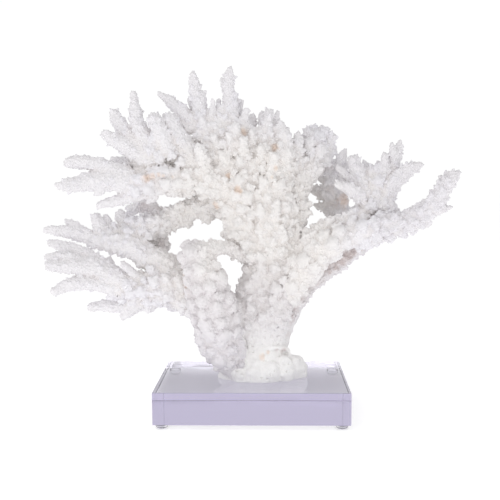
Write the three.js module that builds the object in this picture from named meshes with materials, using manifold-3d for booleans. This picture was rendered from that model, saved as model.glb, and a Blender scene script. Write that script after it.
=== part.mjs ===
// Branching staghorn coral, bleached white, cut off flat at its foot and standing on a clear acrylic block with four clear bumper feet.
// Millimetres, +Z up. The origin is the middle of the bounding box, on the table plane under the bumpers.
import * as THREE from "three";
import { mergeVertices } from "three/addons/utils/BufferGeometryUtils.js";
import Module from "manifold-3d";

const wasm = await Module();
wasm.setup();

// ---- driving dimensions -------------------------------------------------
const BLOCK_WIDTH = 152.4; // 6 in
const BLOCK_DEPTH = 101.6; // 4 in
const BLOCK_HEIGHT = 25.4; // 1 in
const BLOCK_EDGE = 0.8; // polished edge break
const BLOCK_X = 9.0; // middle of the block from the origin
const BLOCK_Y = -7.4;
const BUMPER_HEIGHT = 4.0; // block underside above the table
const BUMPER_RADIUS = 4.9;
const BUMPER_FLAT_RADIUS = 3.4; // flat that stands on the table
const BUMPER_INSET = 6.6; // from the block's sides to the bumper's middle
const GAP = 0.3; // joint between two pieces
const FOOT_CUT_Z = BUMPER_HEIGHT + BLOCK_HEIGHT + 0.1; // flat cut under the coral's foot
const CAP_45 = Math.SQRT1_2;

// ---- the coral's limbs --------------------------------------------------
// Each path lists [x, y, z, radius] along one limb; the radius reaches the tops of the corallites.
// The limbs of one piece grow together; pieces meet at the main forks.
const LIMBS = {
  coral_foot: [
    { name: "foot-core", path: [[13.4, -3.4, 32.6, 25.0], [13.4, -3.4, 27.5, 27.5], [13.4, -3.4, 21.5, 27.5]] },
    { name: "foot-left", path: [[-4.7, -9.4, 33.2, 14.0], [-8.0, -10.4, 28.4, 11.6]] },
    { name: "foot-right", path: [[33.3, -5.4, 32.3, 14.1], [40.0, -5.4, 28.9, 13.3]] },
    { name: "foot-front", path: [[7.0, -16.4, 32.6, 11.4], [21.7, -17.4, 32.9, 13.0]] },
  ],
  coral_centre_fan: [
    { name: "t-left", path: [[8.5, -7.4, 34.4, 19.9], [8.5, -7.4, 55.5, 14.0], [8.7, -9.4, 78.4, 14.8], [8.8, -11.4, 98.6, 13.8], [11.3, -12.4, 111.0, 12.2], [13.8, -13.4, 122.6, 10.1], [9.0, -15.4, 135.0, 11.3], [0.2, -15.4, 148.7, 13.7], [-0.5, -15.4, 164.0, 14.4], [2.0, -15.4, 179.9, 13.6], [5.3, -15.4, 199.0, 11.2]] },
    { name: "t-mid", path: [[20.1, -5.4, 33.9, 19.9], [20.1, -5.4, 55.0, 15.7], [24.3, -7.4, 80.5, 17.3], [26.7, -7.4, 101.3, 18.8], [25.1, -7.4, 121.9, 18.0], [21.9, -7.4, 142.4, 19.5], [21.9, -7.4, 162.7, 21.1], [22.0, -7.4, 182.9, 20.2], [21.2, -7.4, 200.6, 16.9]] },
    { name: "fan-right", path: [[28.4, -3.4, 123.9, 11.5], [37.5, -2.4, 141.9, 10.3], [41.6, -1.4, 161.5, 12.3], [42.5, 0.6, 177.8, 13.1], [47.4, 2.6, 191.7, 13.9], [53.2, 4.6, 202.3, 11.5]] },
    { name: "fan-back", path: [[21.8, 0.6, 91.7, 13.3], [16.9, 10.6, 124.1, 13.4], [16.9, 12.6, 157.6, 15.1], [17.0, 12.6, 186.8, 14.2]] },
    { name: "bkA", path: [[16.8, 4.6, 103.7, 9.2], [12.6, 18.6, 121.5, 8.5], [8.1, 30.6, 141.1, 7.8], [4.6, 38.6, 163.2, 7.0], [1.9, 42.6, 182.3, 5.3], [0.2, 44.6, 197.1, 3.5]] },
    { name: "bkA2", path: [[8.1, 32.6, 143.5, 6.9], [15.0, 44.6, 154.1, 5.3], [20.3, 53.6, 166.1, 3.6]] },
    { name: "bkA4", path: [[3.7, 40.6, 173.6, 6.1], [7.9, 50.6, 185.7, 4.4], [11.4, 55.6, 199.8, 3.1]] },
    { name: "bkB", path: [[25.2, 4.6, 118.0, 8.3], [32.1, 18.6, 136.0, 8.1], [37.4, 28.6, 154.9, 7.7], [39.3, 34.6, 173.6, 6.9], [40.2, 36.6, 190.9, 5.6], [39.4, 36.6, 202.9, 3.9]] },
    { name: "bkB1", path: [[33.9, 20.6, 140.1, 6.8], [40.2, 34.6, 145.9, 4.8], [42.2, 44.6, 155.8, 3.5]] },
    { name: "bkB3", path: [[39.3, 34.6, 177.1, 6.1], [47.4, 42.6, 187.3, 4.4], [50.2, 46.6, 198.7, 3.5]] },
    { name: "bkC", path: [[16.8, 2.6, 66.0, 8.4], [13.3, 16.6, 76.2, 6.8], [9.7, 26.6, 87.5, 5.2], [7.1, 32.6, 98.9, 3.5]] },
  ],
  coral_front_column: [
    { name: "col", path: [[-4.5, -13.4, 36.8, 12.3], [-13.7, -23.4, 54.9, 16.1], [-17.9, -31.4, 74.4, 17.8], [-21.9, -38.4, 94.8, 17.6], [-25.5, -41.4, 110.2, 15.9], [-30.5, -44.4, 123.8, 13.1], [-35.7, -45.4, 134.0, 10.4]] },
    { name: "bridge", path: [[-28.1, -43.4, 138.4, 6.2], [-17.9, -35.4, 138.8, 5.5], [-8.2, -25.4, 136.7, 5.4], [1.8, -17.4, 131.9, 7.2]] },
    { name: "col-lobe", path: [[-21.3, -37.4, 130.0, 4.7], [-26.9, -41.4, 126.6, 7.7]] },
    { name: "col-lobe2", path: [[-34.6, -31.4, 69.6, 4.4], [-27.4, -31.4, 71.2, 7.9]] },
  ],
  coral_lower_left_spray: [
    { name: "ll-body", path: [[-25.0, -19.4, 83.5, 12.1], [-41.7, -13.4, 94.8, 15.5], [-58.4, -9.4, 104.9, 18.0], [-75.1, -7.4, 103.8, 14.8], [-91.6, -7.4, 101.4, 10.7], [-106.5, -7.4, 102.2, 6.6]] },
    { name: "ll-link", path: [[-56.9, -7.4, 109.6, 13.1], [-64.6, -3.4, 123.2, 10.7], [-77.6, 0.6, 127.8, 11.6], [-90.3, 2.6, 136.0, 11.2], [-104.8, 4.6, 140.0, 10.4], [-119.8, 4.6, 141.7, 7.5]] },
    { name: "LL5", path: [[-149.2, -23.4, 102.9, 3.2], [-139.6, -19.4, 107.2, 4.8], [-126.8, -15.4, 108.3, 5.3], [-111.3, -11.4, 106.1, 6.1], [-95.7, -7.4, 103.0, 7.4]] },
    { name: "LL6", path: [[-124.0, 2.6, 85.5, 3.9], [-114.3, 0.6, 87.1, 4.3], [-101.3, -1.4, 87.0, 5.2], [-88.4, -3.4, 89.0, 6.6], [-75.6, -5.4, 94.4, 7.4]] },
    { name: "LL4", path: [[-153.0, -19.4, 123.1, 4.2], [-144.6, -17.4, 122.0, 5.1], [-133.8, -15.4, 121.4, 5.9], [-123.1, -12.4, 120.2, 6.9], [-111.6, -9.4, 115.7, 8.2], [-95.6, -7.4, 108.0, 9.0]] },
    { name: "LL3", path: [[-158.2, 0.6, 139.2, 3.3], [-148.5, -1.4, 137.3, 4.1], [-137.3, -3.4, 133.7, 5.0], [-124.5, -5.4, 127.7, 5.8], [-111.9, -7.4, 119.6, 6.6]] },
    { name: "back-brown2", path: [[-78.4, 18.6, 145.6, 7.7], [-68.3, 18.6, 137.9, 6.4], [-71.0, 12.6, 129.9, 5.9]] },
    { name: "bk-ll1", path: [[-56.2, 6.6, 103.5, 8.4], [-64.4, 24.6, 108.8, 6.0], [-70.5, 38.6, 114.1, 4.0]] },
    { name: "bk-ll2", path: [[-72.5, 2.6, 99.9, 7.5], [-82.6, 18.6, 99.3, 5.6], [-91.8, 32.6, 99.9, 3.9]] },
    { name: "bk-ll3", path: [[-43.1, 0.6, 91.7, 8.3], [-46.6, 18.6, 95.8, 6.0], [-49.7, 32.6, 100.7, 3.9]] },
  ],
  coral_middle_left_branch: [
    { name: "ml-body", path: [[-4.0, -7.4, 172.5, 12.2], [-22.3, -1.4, 172.0, 9.4], [-38.3, 2.6, 169.0, 8.7], [-54.6, 6.6, 160.6, 9.6], [-68.3, 8.6, 154.3, 10.5], [-83.8, 10.6, 150.4, 11.8], [-97.4, 10.6, 146.2, 10.9], [-111.0, 10.6, 143.7, 8.4]] },
    { name: "LL1", path: [[-160.8, 0.6, 150.4, 3.3], [-151.0, 2.6, 149.4, 4.2], [-136.5, 4.6, 146.8, 5.3], [-121.1, 6.6, 141.5, 6.7]] },
    { name: "LL2", path: [[-121.5, 6.6, 160.8, 3.8], [-118.6, 7.6, 153.2, 6.3], [-110.5, 8.6, 144.7, 7.5]] },
    { name: "back-brown", path: [[-94.1, 32.6, 166.4, 6.1], [-80.7, 30.6, 169.8, 6.5], [-73.9, 24.6, 162.3, 6.0], [-78.0, 16.6, 154.2, 6.8]] },
    { name: "bk-ml1", path: [[-51.9, 12.6, 162.8, 6.7], [-57.0, 26.6, 162.2, 5.2], [-62.8, 38.6, 160.8, 3.5]] },
  ],
  coral_upper_left_branch: [
    { name: "ul-body", path: [[-0.6, -11.4, 178.3, 15.3], [-14.9, -13.4, 185.6, 15.2], [-30.8, -15.4, 190.4, 13.6], [-48.1, -17.4, 191.7, 12.8], [-63.9, -19.4, 190.2, 11.9], [-77.9, -21.4, 189.0, 11.1], [-91.9, -23.4, 188.3, 9.5]] },
    { name: "UL1", path: [[-133.2, -29.4, 204.9, 3.9], [-121.5, -27.4, 205.4, 4.7], [-106.3, -25.4, 202.1, 5.5], [-91.0, -23.4, 196.2, 6.3]] },
    { name: "ULs", path: [[-101.9, -11.4, 207.5, 2.8], [-93.4, -13.4, 205.8, 4.0], [-78.7, -15.4, 203.3, 5.6], [-64.0, -17.4, 199.3, 7.2]] },
    { name: "UL2", path: [[-140.5, -33.4, 187.0, 3.0], [-131.2, -31.4, 188.5, 5.5], [-119.3, -28.4, 190.0, 7.5], [-106.5, -25.4, 191.5, 8.3], [-91.1, -23.4, 190.7, 9.5]] },
    { name: "UL3", path: [[-112.3, -17.4, 171.6, 3.2], [-101.9, -18.4, 174.0, 3.6], [-89.6, -19.4, 178.0, 4.8], [-76.0, -19.4, 183.5, 7.2]] },
    { name: "ul-fan", path: [[-28.5, -13.4, 195.2, 12.8], [-40.2, -15.4, 205.6, 11.2], [-54.2, -17.4, 213.5, 10.3], [-67.4, -19.4, 216.6, 9.5], [-79.3, -19.4, 218.2, 7.9]] },
    { name: "F1", path: [[-83.4, -21.4, 258.2, 2.6], [-82.4, -21.4, 247.8, 4.3], [-80.5, -20.4, 234.6, 5.9], [-75.3, -19.4, 222.1, 7.9]] },
    { name: "F2", path: [[-100.3, -15.4, 243.7, 4.1], [-95.7, -17.4, 235.7, 5.0], [-88.0, -19.4, 225.3, 5.9], [-77.8, -19.4, 215.1, 7.1]] },
    { name: "F3", path: [[-104.1, -27.4, 226.5, 3.9], [-95.6, -25.4, 221.2, 5.6], [-84.6, -21.4, 215.0, 7.1], [-71.6, -19.4, 207.2, 7.9]] },
    { name: "F4a", path: [[-66.3, -27.4, 238.3, 5.5], [-62.5, -25.4, 228.8, 6.3], [-56.9, -21.4, 217.3, 7.5]] },
    { name: "F4b", path: [[-55.2, -19.4, 238.8, 5.5], [-49.8, -19.4, 228.3, 6.6], [-42.3, -17.4, 216.6, 7.8], [-32.3, -15.4, 200.8, 9.6]] },
    { name: "bk-ul1", path: [[-29.3, -3.4, 189.6, 7.3], [-33.3, 14.6, 196.2, 5.4], [-36.3, 30.6, 203.1, 3.9]] },
    { name: "bk-ul2", path: [[-49.5, -5.4, 191.3, 7.3], [-56.3, 10.6, 197.9, 5.4], [-62.4, 26.6, 204.0, 3.8]] },
    { name: "bk-ul4", path: [[-76.8, -13.4, 188.2, 6.4], [-86.8, 2.6, 189.8, 4.9], [-95.6, 14.6, 193.1, 3.4]] },
  ],
  coral_crown: [
    { name: "F5", path: [[-64.9, -7.4, 259.7, 2.0], [-56.5, -7.4, 254.1, 4.0], [-47.7, -8.4, 246.4, 5.5], [-38.8, -9.4, 238.3, 6.4], [-29.2, -10.4, 228.7, 6.4]] },
    { name: "F6", path: [[-37.4, -11.4, 273.9, 2.8], [-36.3, -11.4, 266.5, 4.5], [-34.1, -11.4, 254.7, 5.6], [-29.8, -11.4, 237.3, 7.2], [-23.6, -11.4, 221.5, 8.8], [-11.6, -12.4, 203.1, 10.4]] },
    { name: "F7", path: [[-8.1, -9.4, 278.3, 2.8], [-9.2, -9.4, 267.3, 5.3], [-8.4, -9.4, 254.7, 6.2], [-6.7, -10.4, 240.4, 7.6], [-2.7, -11.4, 223.0, 9.6], [2.0, -12.4, 207.0, 11.2]] },
    { name: "F7e", path: [[8.7, 0.6, 241.2, 3.3], [7.9, -1.4, 229.0, 5.7], [9.1, -3.4, 215.3, 8.1]] },
    { name: "F8", path: [[22.9, -11.4, 244.1, 3.6], [22.1, -11.4, 235.5, 6.0], [21.2, -11.4, 221.3, 7.6], [20.4, -10.4, 205.4, 11.2]] },
    { name: "F9", path: [[32.0, -15.4, 235.1, 2.8], [34.7, -15.4, 226.5, 5.6], [35.6, -13.4, 214.8, 8.0], [31.6, -11.4, 198.9, 11.2]] },
    { name: "F10", path: [[46.5, -7.4, 226.9, 2.6], [45.4, -7.4, 218.1, 6.0], [40.6, -5.4, 205.4, 8.9]] },
    { name: "bk-cr1", path: [[-0.8, -1.4, 203.3, 8.2], [-3.8, 14.6, 216.0, 5.8], [-5.7, 22.6, 229.7, 4.2], [-6.6, 25.6, 241.6, 3.0]] },
    { name: "bk-cr2", path: [[18.8, 0.6, 203.2, 8.2], [17.0, 18.6, 214.4, 5.9], [16.1, 30.6, 226.7, 3.4]] },
    { name: "bk-cr3", path: [[-10.6, -1.4, 197.6, 7.3], [-18.9, 14.6, 207.8, 5.4], [-24.5, 23.6, 219.0, 4.2], [-27.1, 26.6, 230.0, 3.0]] },
    { name: "bk-cr4", path: [[33.5, 4.6, 200.8, 7.4], [35.5, 20.6, 209.4, 5.5], [36.6, 30.6, 219.8, 3.4]] },
  ],
  coral_club_branch: [
    { name: "club", path: [[63.5, 12.6, 222.2, 11.2], [57.7, 10.6, 213.9, 11.2], [50.9, 6.6, 204.8, 10.7], [41.7, 2.6, 194.2, 10.7]] },
    { name: "club-r", path: [[74.1, 10.6, 225.3, 4.1], [69.2, 10.6, 218.0, 6.6]] },
    { name: "club-rr", path: [[74.5, 14.6, 215.6, 4.6], [66.8, 10.6, 210.6, 7.5]] },
    { name: "bk-cl1", path: [[48.8, 16.6, 202.5, 7.5], [52.9, 30.6, 206.1, 5.6], [56.0, 42.6, 209.9, 3.9]] },
  ],
  coral_right_arm: [
    { name: "ra-body", path: [[39.8, -9.4, 101.5, 14.7], [49.2, -15.4, 118.7, 14.5], [61.8, -19.4, 132.4, 12.8], [75.8, -22.4, 141.1, 11.1], [89.7, -24.4, 147.1, 9.9], [102.1, -25.4, 152.3, 9.4], [114.3, -27.4, 155.5, 9.4]] },
    { name: "ra-up", path: [[57.3, -13.4, 137.9, 11.3], [66.9, -13.4, 147.6, 9.7], [78.2, -12.4, 153.1, 8.9], [91.1, -11.4, 159.5, 8.0]] },
    { name: "ra-low", path: [[96.9, -17.4, 143.8, 8.0], [110.2, -19.4, 146.3, 6.4], [119.3, -21.4, 148.0, 6.3]] },
    { name: "bk-ra1", path: [[68.4, -5.4, 129.8, 8.2], [73.8, 10.6, 134.1, 5.9], [80.1, 24.6, 137.1, 3.8]] },
  ],
  coral_right_back_stem: [
    { name: "rs-stem", path: [[31.4, 0.6, 52.9, 6.3], [39.0, 5.6, 71.0, 7.8], [48.8, 9.6, 89.4, 8.3], [63.3, 14.6, 107.8, 7.8], [80.0, 17.6, 119.4, 7.5], [93.5, 14.6, 130.7, 6.7], [105.5, 10.6, 140.7, 7.1]] },
  ],
  coral_right_spray: [
    { name: "rs-body", path: [[89.3, -13.4, 154.0, 9.6], [99.9, -11.4, 165.1, 10.5], [107.2, -9.4, 177.8, 11.3], [112.2, -7.4, 190.6, 10.5]] },
    { name: "RS1", path: [[91.8, -5.4, 206.4, 4.4], [94.7, -5.4, 197.1, 6.5], [99.4, -7.4, 184.3, 8.1]] },
    { name: "RS2", path: [[114.6, -13.4, 209.6, 2.7], [115.3, -12.4, 201.8, 3.3], [114.9, -10.4, 190.6, 5.6]] },
    { name: "RS3b", path: [[128.2, -5.4, 221.0, 2.1], [125.8, -5.4, 213.8, 4.4], [121.8, -6.4, 202.6, 6.0], [117.0, -7.4, 189.0, 7.3]] },
    { name: "RS4", path: [[140.5, -21.4, 202.3, 2.7], [131.9, -19.4, 198.0, 4.9], [123.7, -15.4, 190.2, 6.8], [116.4, -12.4, 178.7, 7.2]] },
    { name: "RS5", path: [[77.2, -21.4, 186.9, 3.2], [85.5, -17.4, 184.4, 4.0], [97.1, -13.4, 177.2, 6.4]] },
    { name: "RS6", path: [[80.5, 6.6, 200.6, 3.0], [89.2, 2.6, 193.2, 4.1], [98.3, -3.4, 182.6, 5.7]] },
    { name: "RS7", path: [[86.3, 16.6, 214.8, 1.8], [83.1, 16.6, 208.2, 4.6], [86.3, 14.6, 197.4, 5.4], [93.0, 6.6, 182.5, 6.6]] },
    { name: "RS-base", path: [[119.7, -17.4, 167.7, 6.4], [111.5, -13.4, 171.5, 8.8]] },
    { name: "bk-rs1", path: [[107.3, 2.6, 177.6, 7.4], [109.1, 16.6, 183.9, 5.4], [110.7, 28.6, 190.6, 3.8]] },
  ],
  coral_far_right_branch: [
    { name: "fr-body", path: [[159.6, -51.4, 193.5, 4.9], [156.1, -49.4, 187.5, 6.0], [152.2, -47.4, 180.4, 6.4], [148.0, -43.4, 173.2, 7.2], [140.8, -38.4, 165.4, 8.4], [131.9, -33.4, 159.4, 8.9], [121.8, -29.4, 155.7, 9.4], [111.2, -27.4, 154.8, 9.4]] },
    { name: "fr1", path: [[153.3, -41.4, 192.8, 2.0], [153.7, -43.4, 186.0, 3.0]] },
    { name: "fr2", path: [[158.8, -47.4, 169.9, 2.1], [153.6, -45.4, 167.9, 3.3], [147.0, -41.4, 165.9, 4.6]] },
    { name: "fr3", path: [[145.4, -37.4, 156.8, 2.3], [138.5, -35.4, 156.7, 3.9], [130.4, -33.4, 156.6, 5.4]] },
  ],
  coral_back_branch: [
    { name: "bb", path: [[73.3, 40.6, 201.1, 7.8], [75.9, 39.6, 189.0, 10.4], [80.0, 36.6, 175.2, 10.8], [83.9, 30.6, 161.6, 10.3], [86.6, 22.6, 146.6, 10.2], [87.6, 14.6, 135.4, 8.4]] },
  ],
};

// Colours of the dry skeleton and the stand.
const CORAL_WHITE = 0xe9e5e2;
const ACRYLIC = 0xd9d4ec;
const BUMPER = 0xe4e2ea;

// ---- helpers --------------------------------------------------------------
function solidOf(geometry) {
  const g = geometry.clone();
  g.deleteAttribute("normal");
  g.deleteAttribute("uv");
  const merged = mergeVertices(g, 1e-3);
  const make = (flip) => {
    const triVerts = new Uint32Array(merged.index.array);
    if (flip)
      for (let i = 0; i < triVerts.length; i += 3)
        [triVerts[i + 1], triVerts[i + 2]] = [triVerts[i + 2], triVerts[i + 1]];
    return new wasm.Manifold(
      new wasm.Mesh({
        numProp: 3,
        vertProperties: new Float32Array(merged.attributes.position.array),
        triVerts,
      }),
    );
  };
  const first = make(false);
  return first.volume() < 0 ? make(true) : first;
}

function geometryOf(solid) {
  const m = solid.getMesh();
  const n = m.numProp;
  const position = new Float32Array(m.numVert * 3);
  for (let i = 0; i < m.numVert; i++)
    position.set(m.vertProperties.subarray(i * n, i * n + 3), i * 3);
  const g = new THREE.BufferGeometry();
  g.setAttribute("position", new THREE.BufferAttribute(position, 3));
  g.setIndex(new THREE.BufferAttribute(new Uint32Array(m.triVerts), 1));
  g.computeVertexNormals();
  return g;
}

// One limb: a tapered, round-ended lathe profile bent along the limb's centre line.
function limbSolid(path, grow = 0) {
  const points = path.map((p) => new THREE.Vector3(p[0], p[1], p[2]));
  const radii = path.map((p) => p[3] + grow);
  const curve = new THREE.CatmullRomCurve3(points, false, "centripetal");
  const rings = path.length === 2 ? 2 : path.length;
  const largest = Math.max(...path.map((p) => p[3]));
  const sides = largest > 12 ? 8 : largest > 6 ? 6 : 5;
  const at = (k) => k / (rings - 1);
  const centres = [];
  const tangents = [];
  const rs = [];
  for (let k = 0; k < rings; k++) {
    centres.push(curve.getPoint(at(k)));
    tangents.push(curve.getTangent(at(k)).normalize());
    rs.push(radii[k]);
  }
  // frames carried along the curve without twist
  const normals = [];
  const seed =
    Math.abs(tangents[0].z) < 0.9
      ? new THREE.Vector3(0, 0, 1)
      : new THREE.Vector3(1, 0, 0);
  normals.push(
    new THREE.Vector3().crossVectors(tangents[0], seed).normalize(),
  );
  for (let k = 1; k < rings; k++) {
    const n = normals[k - 1].clone();
    n.addScaledVector(tangents[k], -n.dot(tangents[k])).normalize();
    normals.push(n);
  }
  // straight profile: apex, cap ring, body rings, cap ring, apex
  const profile = [];
  const owner = [];
  const push = (r, y, k, past) => {
    profile.push(new THREE.Vector2(r, y));
    owner.push([k, past]);
  };
  // the thin end is rounded; the thick end, buried in its neighbours, is a low cone
  const last = rings - 1;
  const thinFirst = rs[0] <= rs[last];
  let y = 0;
  if (thinFirst) {
    push(0, -rs[0], 0, -rs[0]);
    push(rs[0] * CAP_45, -rs[0] * CAP_45, 0, -rs[0] * CAP_45);
  } else push(0, -rs[0] * 0.7, 0, -rs[0] * 0.7);
  for (let k = 0; k < rings; k++) {
    if (k) y += centres[k].distanceTo(centres[k - 1]);
    push(rs[k], y, k, 0);
  }
  if (!thinFirst) {
    push(rs[last] * CAP_45, y + rs[last] * CAP_45, last, rs[last] * CAP_45);
    push(0, y + rs[last], last, rs[last]);
  } else push(0, y + rs[last] * 0.7, last, rs[last] * 0.7);
  const lathe = new THREE.LatheGeometry(profile, sides);
  const position = lathe.attributes.position;
  const rows = profile.length;
  const v = new THREE.Vector3();
  const side = new THREE.Vector3();
  for (let i = 0; i < position.count; i++) {
    const [k, past] = owner[i % rows];
    v.fromBufferAttribute(position, i);
    side.crossVectors(tangents[k], normals[k]);
    const p = centres[k]
      .clone()
      .addScaledVector(tangents[k], past)
      .addScaledVector(normals[k], v.x)
      .addScaledVector(side, v.z);
    position.setXYZ(i, p.x, p.y, p.z);
  }
  return solidOf(lathe);
}

function joined(list) {
  let all = list[0];
  for (const s of list.slice(1)) all = all.add(s);
  return all;
}

function largestBody(solid) {
  return solid
    .decompose()
    .sort((a, b) => b.volume() - a.volume())[0];
}

// ---- the stand ------------------------------------------------------------
const standTop = BUMPER_HEIGHT + BLOCK_HEIGHT;
const outline = new THREE.Shape();
const halfW = BLOCK_WIDTH / 2 - BLOCK_EDGE;
const halfD = BLOCK_DEPTH / 2 - BLOCK_EDGE;
outline.moveTo(-halfW, -halfD);
outline.lineTo(halfW, -halfD);
outline.lineTo(halfW, halfD);
outline.lineTo(-halfW, halfD);
outline.closePath();
const blockGeometry = new THREE.ExtrudeGeometry(outline, {
  depth: BLOCK_HEIGHT - 2 * BLOCK_EDGE,
  bevelEnabled: true,
  bevelThickness: BLOCK_EDGE,
  bevelSize: BLOCK_EDGE,
  bevelSegments: 2,
});

const bumperProfile = [
  [0, 0],
  [BUMPER_FLAT_RADIUS, 0],
  [BUMPER_RADIUS * 0.9, 0.7],
  [BUMPER_RADIUS, 1.9],
  [BUMPER_RADIUS, BUMPER_HEIGHT - 0.05],
  [0, BUMPER_HEIGHT - 0.05],
].map(([r, z]) => new THREE.Vector2(r, z));

// ---- the object -----------------------------------------------------------
const object = new THREE.Group();
object.name = "coral_on_acrylic_block";

function add(name, geometry, colour, roughness, opacity = 1) {
  const mesh = new THREE.Mesh(
    geometry,
    new THREE.MeshStandardMaterial({
      color: colour,
      roughness,
      metalness: 0,
      transparent: opacity < 1,
      opacity,
    }),
  );
  mesh.name = name;
  object.add(mesh);
  return mesh;
}

add("acrylic_block", blockGeometry, ACRYLIC, 0.05, 0.45).position.set(
  BLOCK_X,
  BLOCK_Y,
  BUMPER_HEIGHT + BLOCK_EDGE,
);

for (const [name, sx, sy] of [
  ["bumper_front_left", -1, -1],
  ["bumper_front_right", 1, -1],
  ["bumper_back_left", -1, 1],
  ["bumper_back_right", 1, 1],
]) {
  const bumper = new THREE.LatheGeometry(bumperProfile, 16);
  bumper.rotateX(Math.PI / 2);
  add(name, bumper, BUMPER, 0.2, 0.6).position.set(
    BLOCK_X + sx * (BLOCK_WIDTH / 2 - BUMPER_INSET),
    BLOCK_Y + sy * (BLOCK_DEPTH / 2 - BUMPER_INSET),
    0,
  );
}

// The half-space under the coral's cut, as a wide flat box.
const under = new THREE.BoxGeometry(500, 500, 200);
under.translate(0, 0, FOOT_CUT_Z - 100);
const underFoot = solidOf(under);

// Each piece keeps its own limbs and is trimmed to the pieces before it, with a gap at the fork.
const before = [];
for (const [name, limbs] of Object.entries(LIMBS)) {
  let solid = joined(limbs.map((l) => limbSolid(l.path)));
  solid = solid.subtract(underFoot);
  const box = solid.boundingBox();
  for (const other of before) {
    const o = other.box;
    const apart = [0, 1, 2].some(
      (i) => o.min[i] > box.max[i] + 1 || o.max[i] < box.min[i] - 1,
    );
    if (!apart) solid = solid.subtract(other.grown);
  }
  solid = largestBody(solid);
  before.push({
    grown: joined(limbs.map((l) => limbSolid(l.path, GAP))),
    box,
  });
  add(name, geometryOf(solid), CORAL_WHITE, 0.85);
}

export default object;
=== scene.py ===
# Bleached branching coral on a clear acrylic block with four clear bumper feet.
# The coral is built as a distance field from a table of limbs, covered with corallites,
# and meshed piece by piece; pieces meet at the main forks. Millimetres inside, metres out.
import bpy
import bmesh
import math
import time
import numpy as np
import openvdb as vdb
from mathutils import Vector, Matrix


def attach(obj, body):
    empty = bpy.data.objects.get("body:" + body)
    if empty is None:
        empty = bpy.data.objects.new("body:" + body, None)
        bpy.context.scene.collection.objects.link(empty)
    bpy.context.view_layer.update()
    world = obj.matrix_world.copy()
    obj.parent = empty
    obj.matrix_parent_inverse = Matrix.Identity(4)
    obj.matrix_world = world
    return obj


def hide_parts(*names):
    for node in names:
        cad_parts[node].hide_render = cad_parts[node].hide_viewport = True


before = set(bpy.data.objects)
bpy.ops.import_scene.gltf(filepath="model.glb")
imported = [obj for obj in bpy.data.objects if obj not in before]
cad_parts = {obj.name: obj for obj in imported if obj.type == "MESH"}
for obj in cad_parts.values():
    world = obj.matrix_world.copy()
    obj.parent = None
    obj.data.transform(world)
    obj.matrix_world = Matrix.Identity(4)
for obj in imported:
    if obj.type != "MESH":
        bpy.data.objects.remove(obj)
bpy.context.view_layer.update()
T0 = time.time()

SEED = 7261
H = 0.75                      # voxel edge, mm
BLOCK_X, BLOCK_Y = 9.0, -7.4   # middle of the block
BLOCK = (152.4, 101.6, 25.4)
BUMPER_H = 4.0
TOP_Z = BUMPER_H + BLOCK[2]
FOOT_Z = TOP_Z + 0.02
CAM = (21.0, -624.4, 192.0)
CAM_YAW, CAM_PITCH, CAM_ROLL = -1.28, 5.35, -0.23
LENS_PX = 760.0

# habit of each style. sink: depth of the core below the traced radius on a 3.5 mm and on a 10 mm limb.
# stub, knob: spacing, low radius, top radius, height, lean to the tip in degrees, size spread, share kept.
# cor, the corallites: spacing, radius, height, lean.
STYLE = {
    "nub": dict(sink=(0.4, 2.6), stub=(6.6, 2.6, 2.3, 3.7, 48, 0.30, 1.0), knob=(3.9, 1.6, 1.35, 2.3, 50, 0.35, 0.80), cor=(2.0, 0.90, 1.00, 46)),
    "fine": dict(sink=(0.1, 0.9), stub=None, knob=(4.0, 1.5, 1.1, 2.0, 52, 0.3, 0.6), cor=(2.0, 0.90, 1.10, 46)),
    "spray": dict(sink=(0.2, 1.8), stub=None, knob=(3.5, 1.4, 1.0, 2.7, 54, 0.3, 0.9), cor=(1.9, 0.86, 1.05, 46)),
    "big": dict(sink=(1.1, 3.9), stub=(8.0, 3.4, 3.0, 4.5, 48, 0.35, 1.0), knob=(4.0, 1.75, 1.45, 2.2, 48, 0.35, 0.85), cor=(2.0, 0.90, 0.80, 45)),
    "mid": dict(sink=(0.9, 2.8), stub=None, knob=(4.1, 1.9, 1.4, 3.5, 48, 0.35, 1.0), cor=(1.9, 0.86, 0.80, 45)),
    "lobe": dict(sink=(0.9, 4.3), stub=(9.0, 4.6, 3.9, 5.6, 48, 0.28, 1.0), knob=(3.9, 1.6, 1.3, 1.9, 50, 0.35, 0.70), cor=(2.0, 0.90, 0.80, 45)),
    "cone": dict(sink=(0.8, 3.5), stub=(8.2, 4.7, 4.0, 5.3, 48, 0.18, 1.0), knob=(4.3, 1.9, 1.6, 1.2, 48, 0.3, 0.75), cor=(2.0, 0.90, 0.80, 45)),
    "knobby": dict(sink=(0.8, 3.4), stub=(7.4, 3.8, 3.3, 4.2, 30, 0.25, 1.0), knob=(4.0, 1.8, 1.5, 1.3, 40, 0.3, 0.8), cor=(2.0, 0.90, 0.80, 45)),
    "low": dict(sink=(0.5, 1.2), stub=None, knob=(4.4, 2.1, 1.6, 2.0, 48, 0.4, 0.85), cor=(2.0, 0.88, 0.70, 45)),
    "stem": dict(sink=(0.5, 1.4), stub=None, knob=(4.4, 1.9, 1.3, 2.5, 48, 0.4, 0.9), cor=(2.0, 0.88, 0.90, 45)),
    "waxy": dict(sink=(0.2, 0.6), stub=None, knob=(8.0, 3.4, 3.0, 0.9, 25, 0.4, 0.6), cor=None),
    "smooth": dict(sink=(0.0, 0.0), stub=None, knob=None, cor=None),
}
# how much painted shade each piece gets (a darker grey on pieces that lie in shade), then: the growth thins out towards
# the foot, between these heights
PAINTED_SHADE = {"coral_front_column": 1.15, "coral_back_branch": 0.0, "coral_far_right_branch": 0.45, "coral_right_back_stem": 0.85, "coral_club_branch": 0.0, "coral_right_spray": 0.15}
FADE = {"coral_centre_fan": (46, 106), "coral_front_column": (34, 48), "coral_right_back_stem": (50, 104), "coral_foot": (29, 34)}

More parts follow.
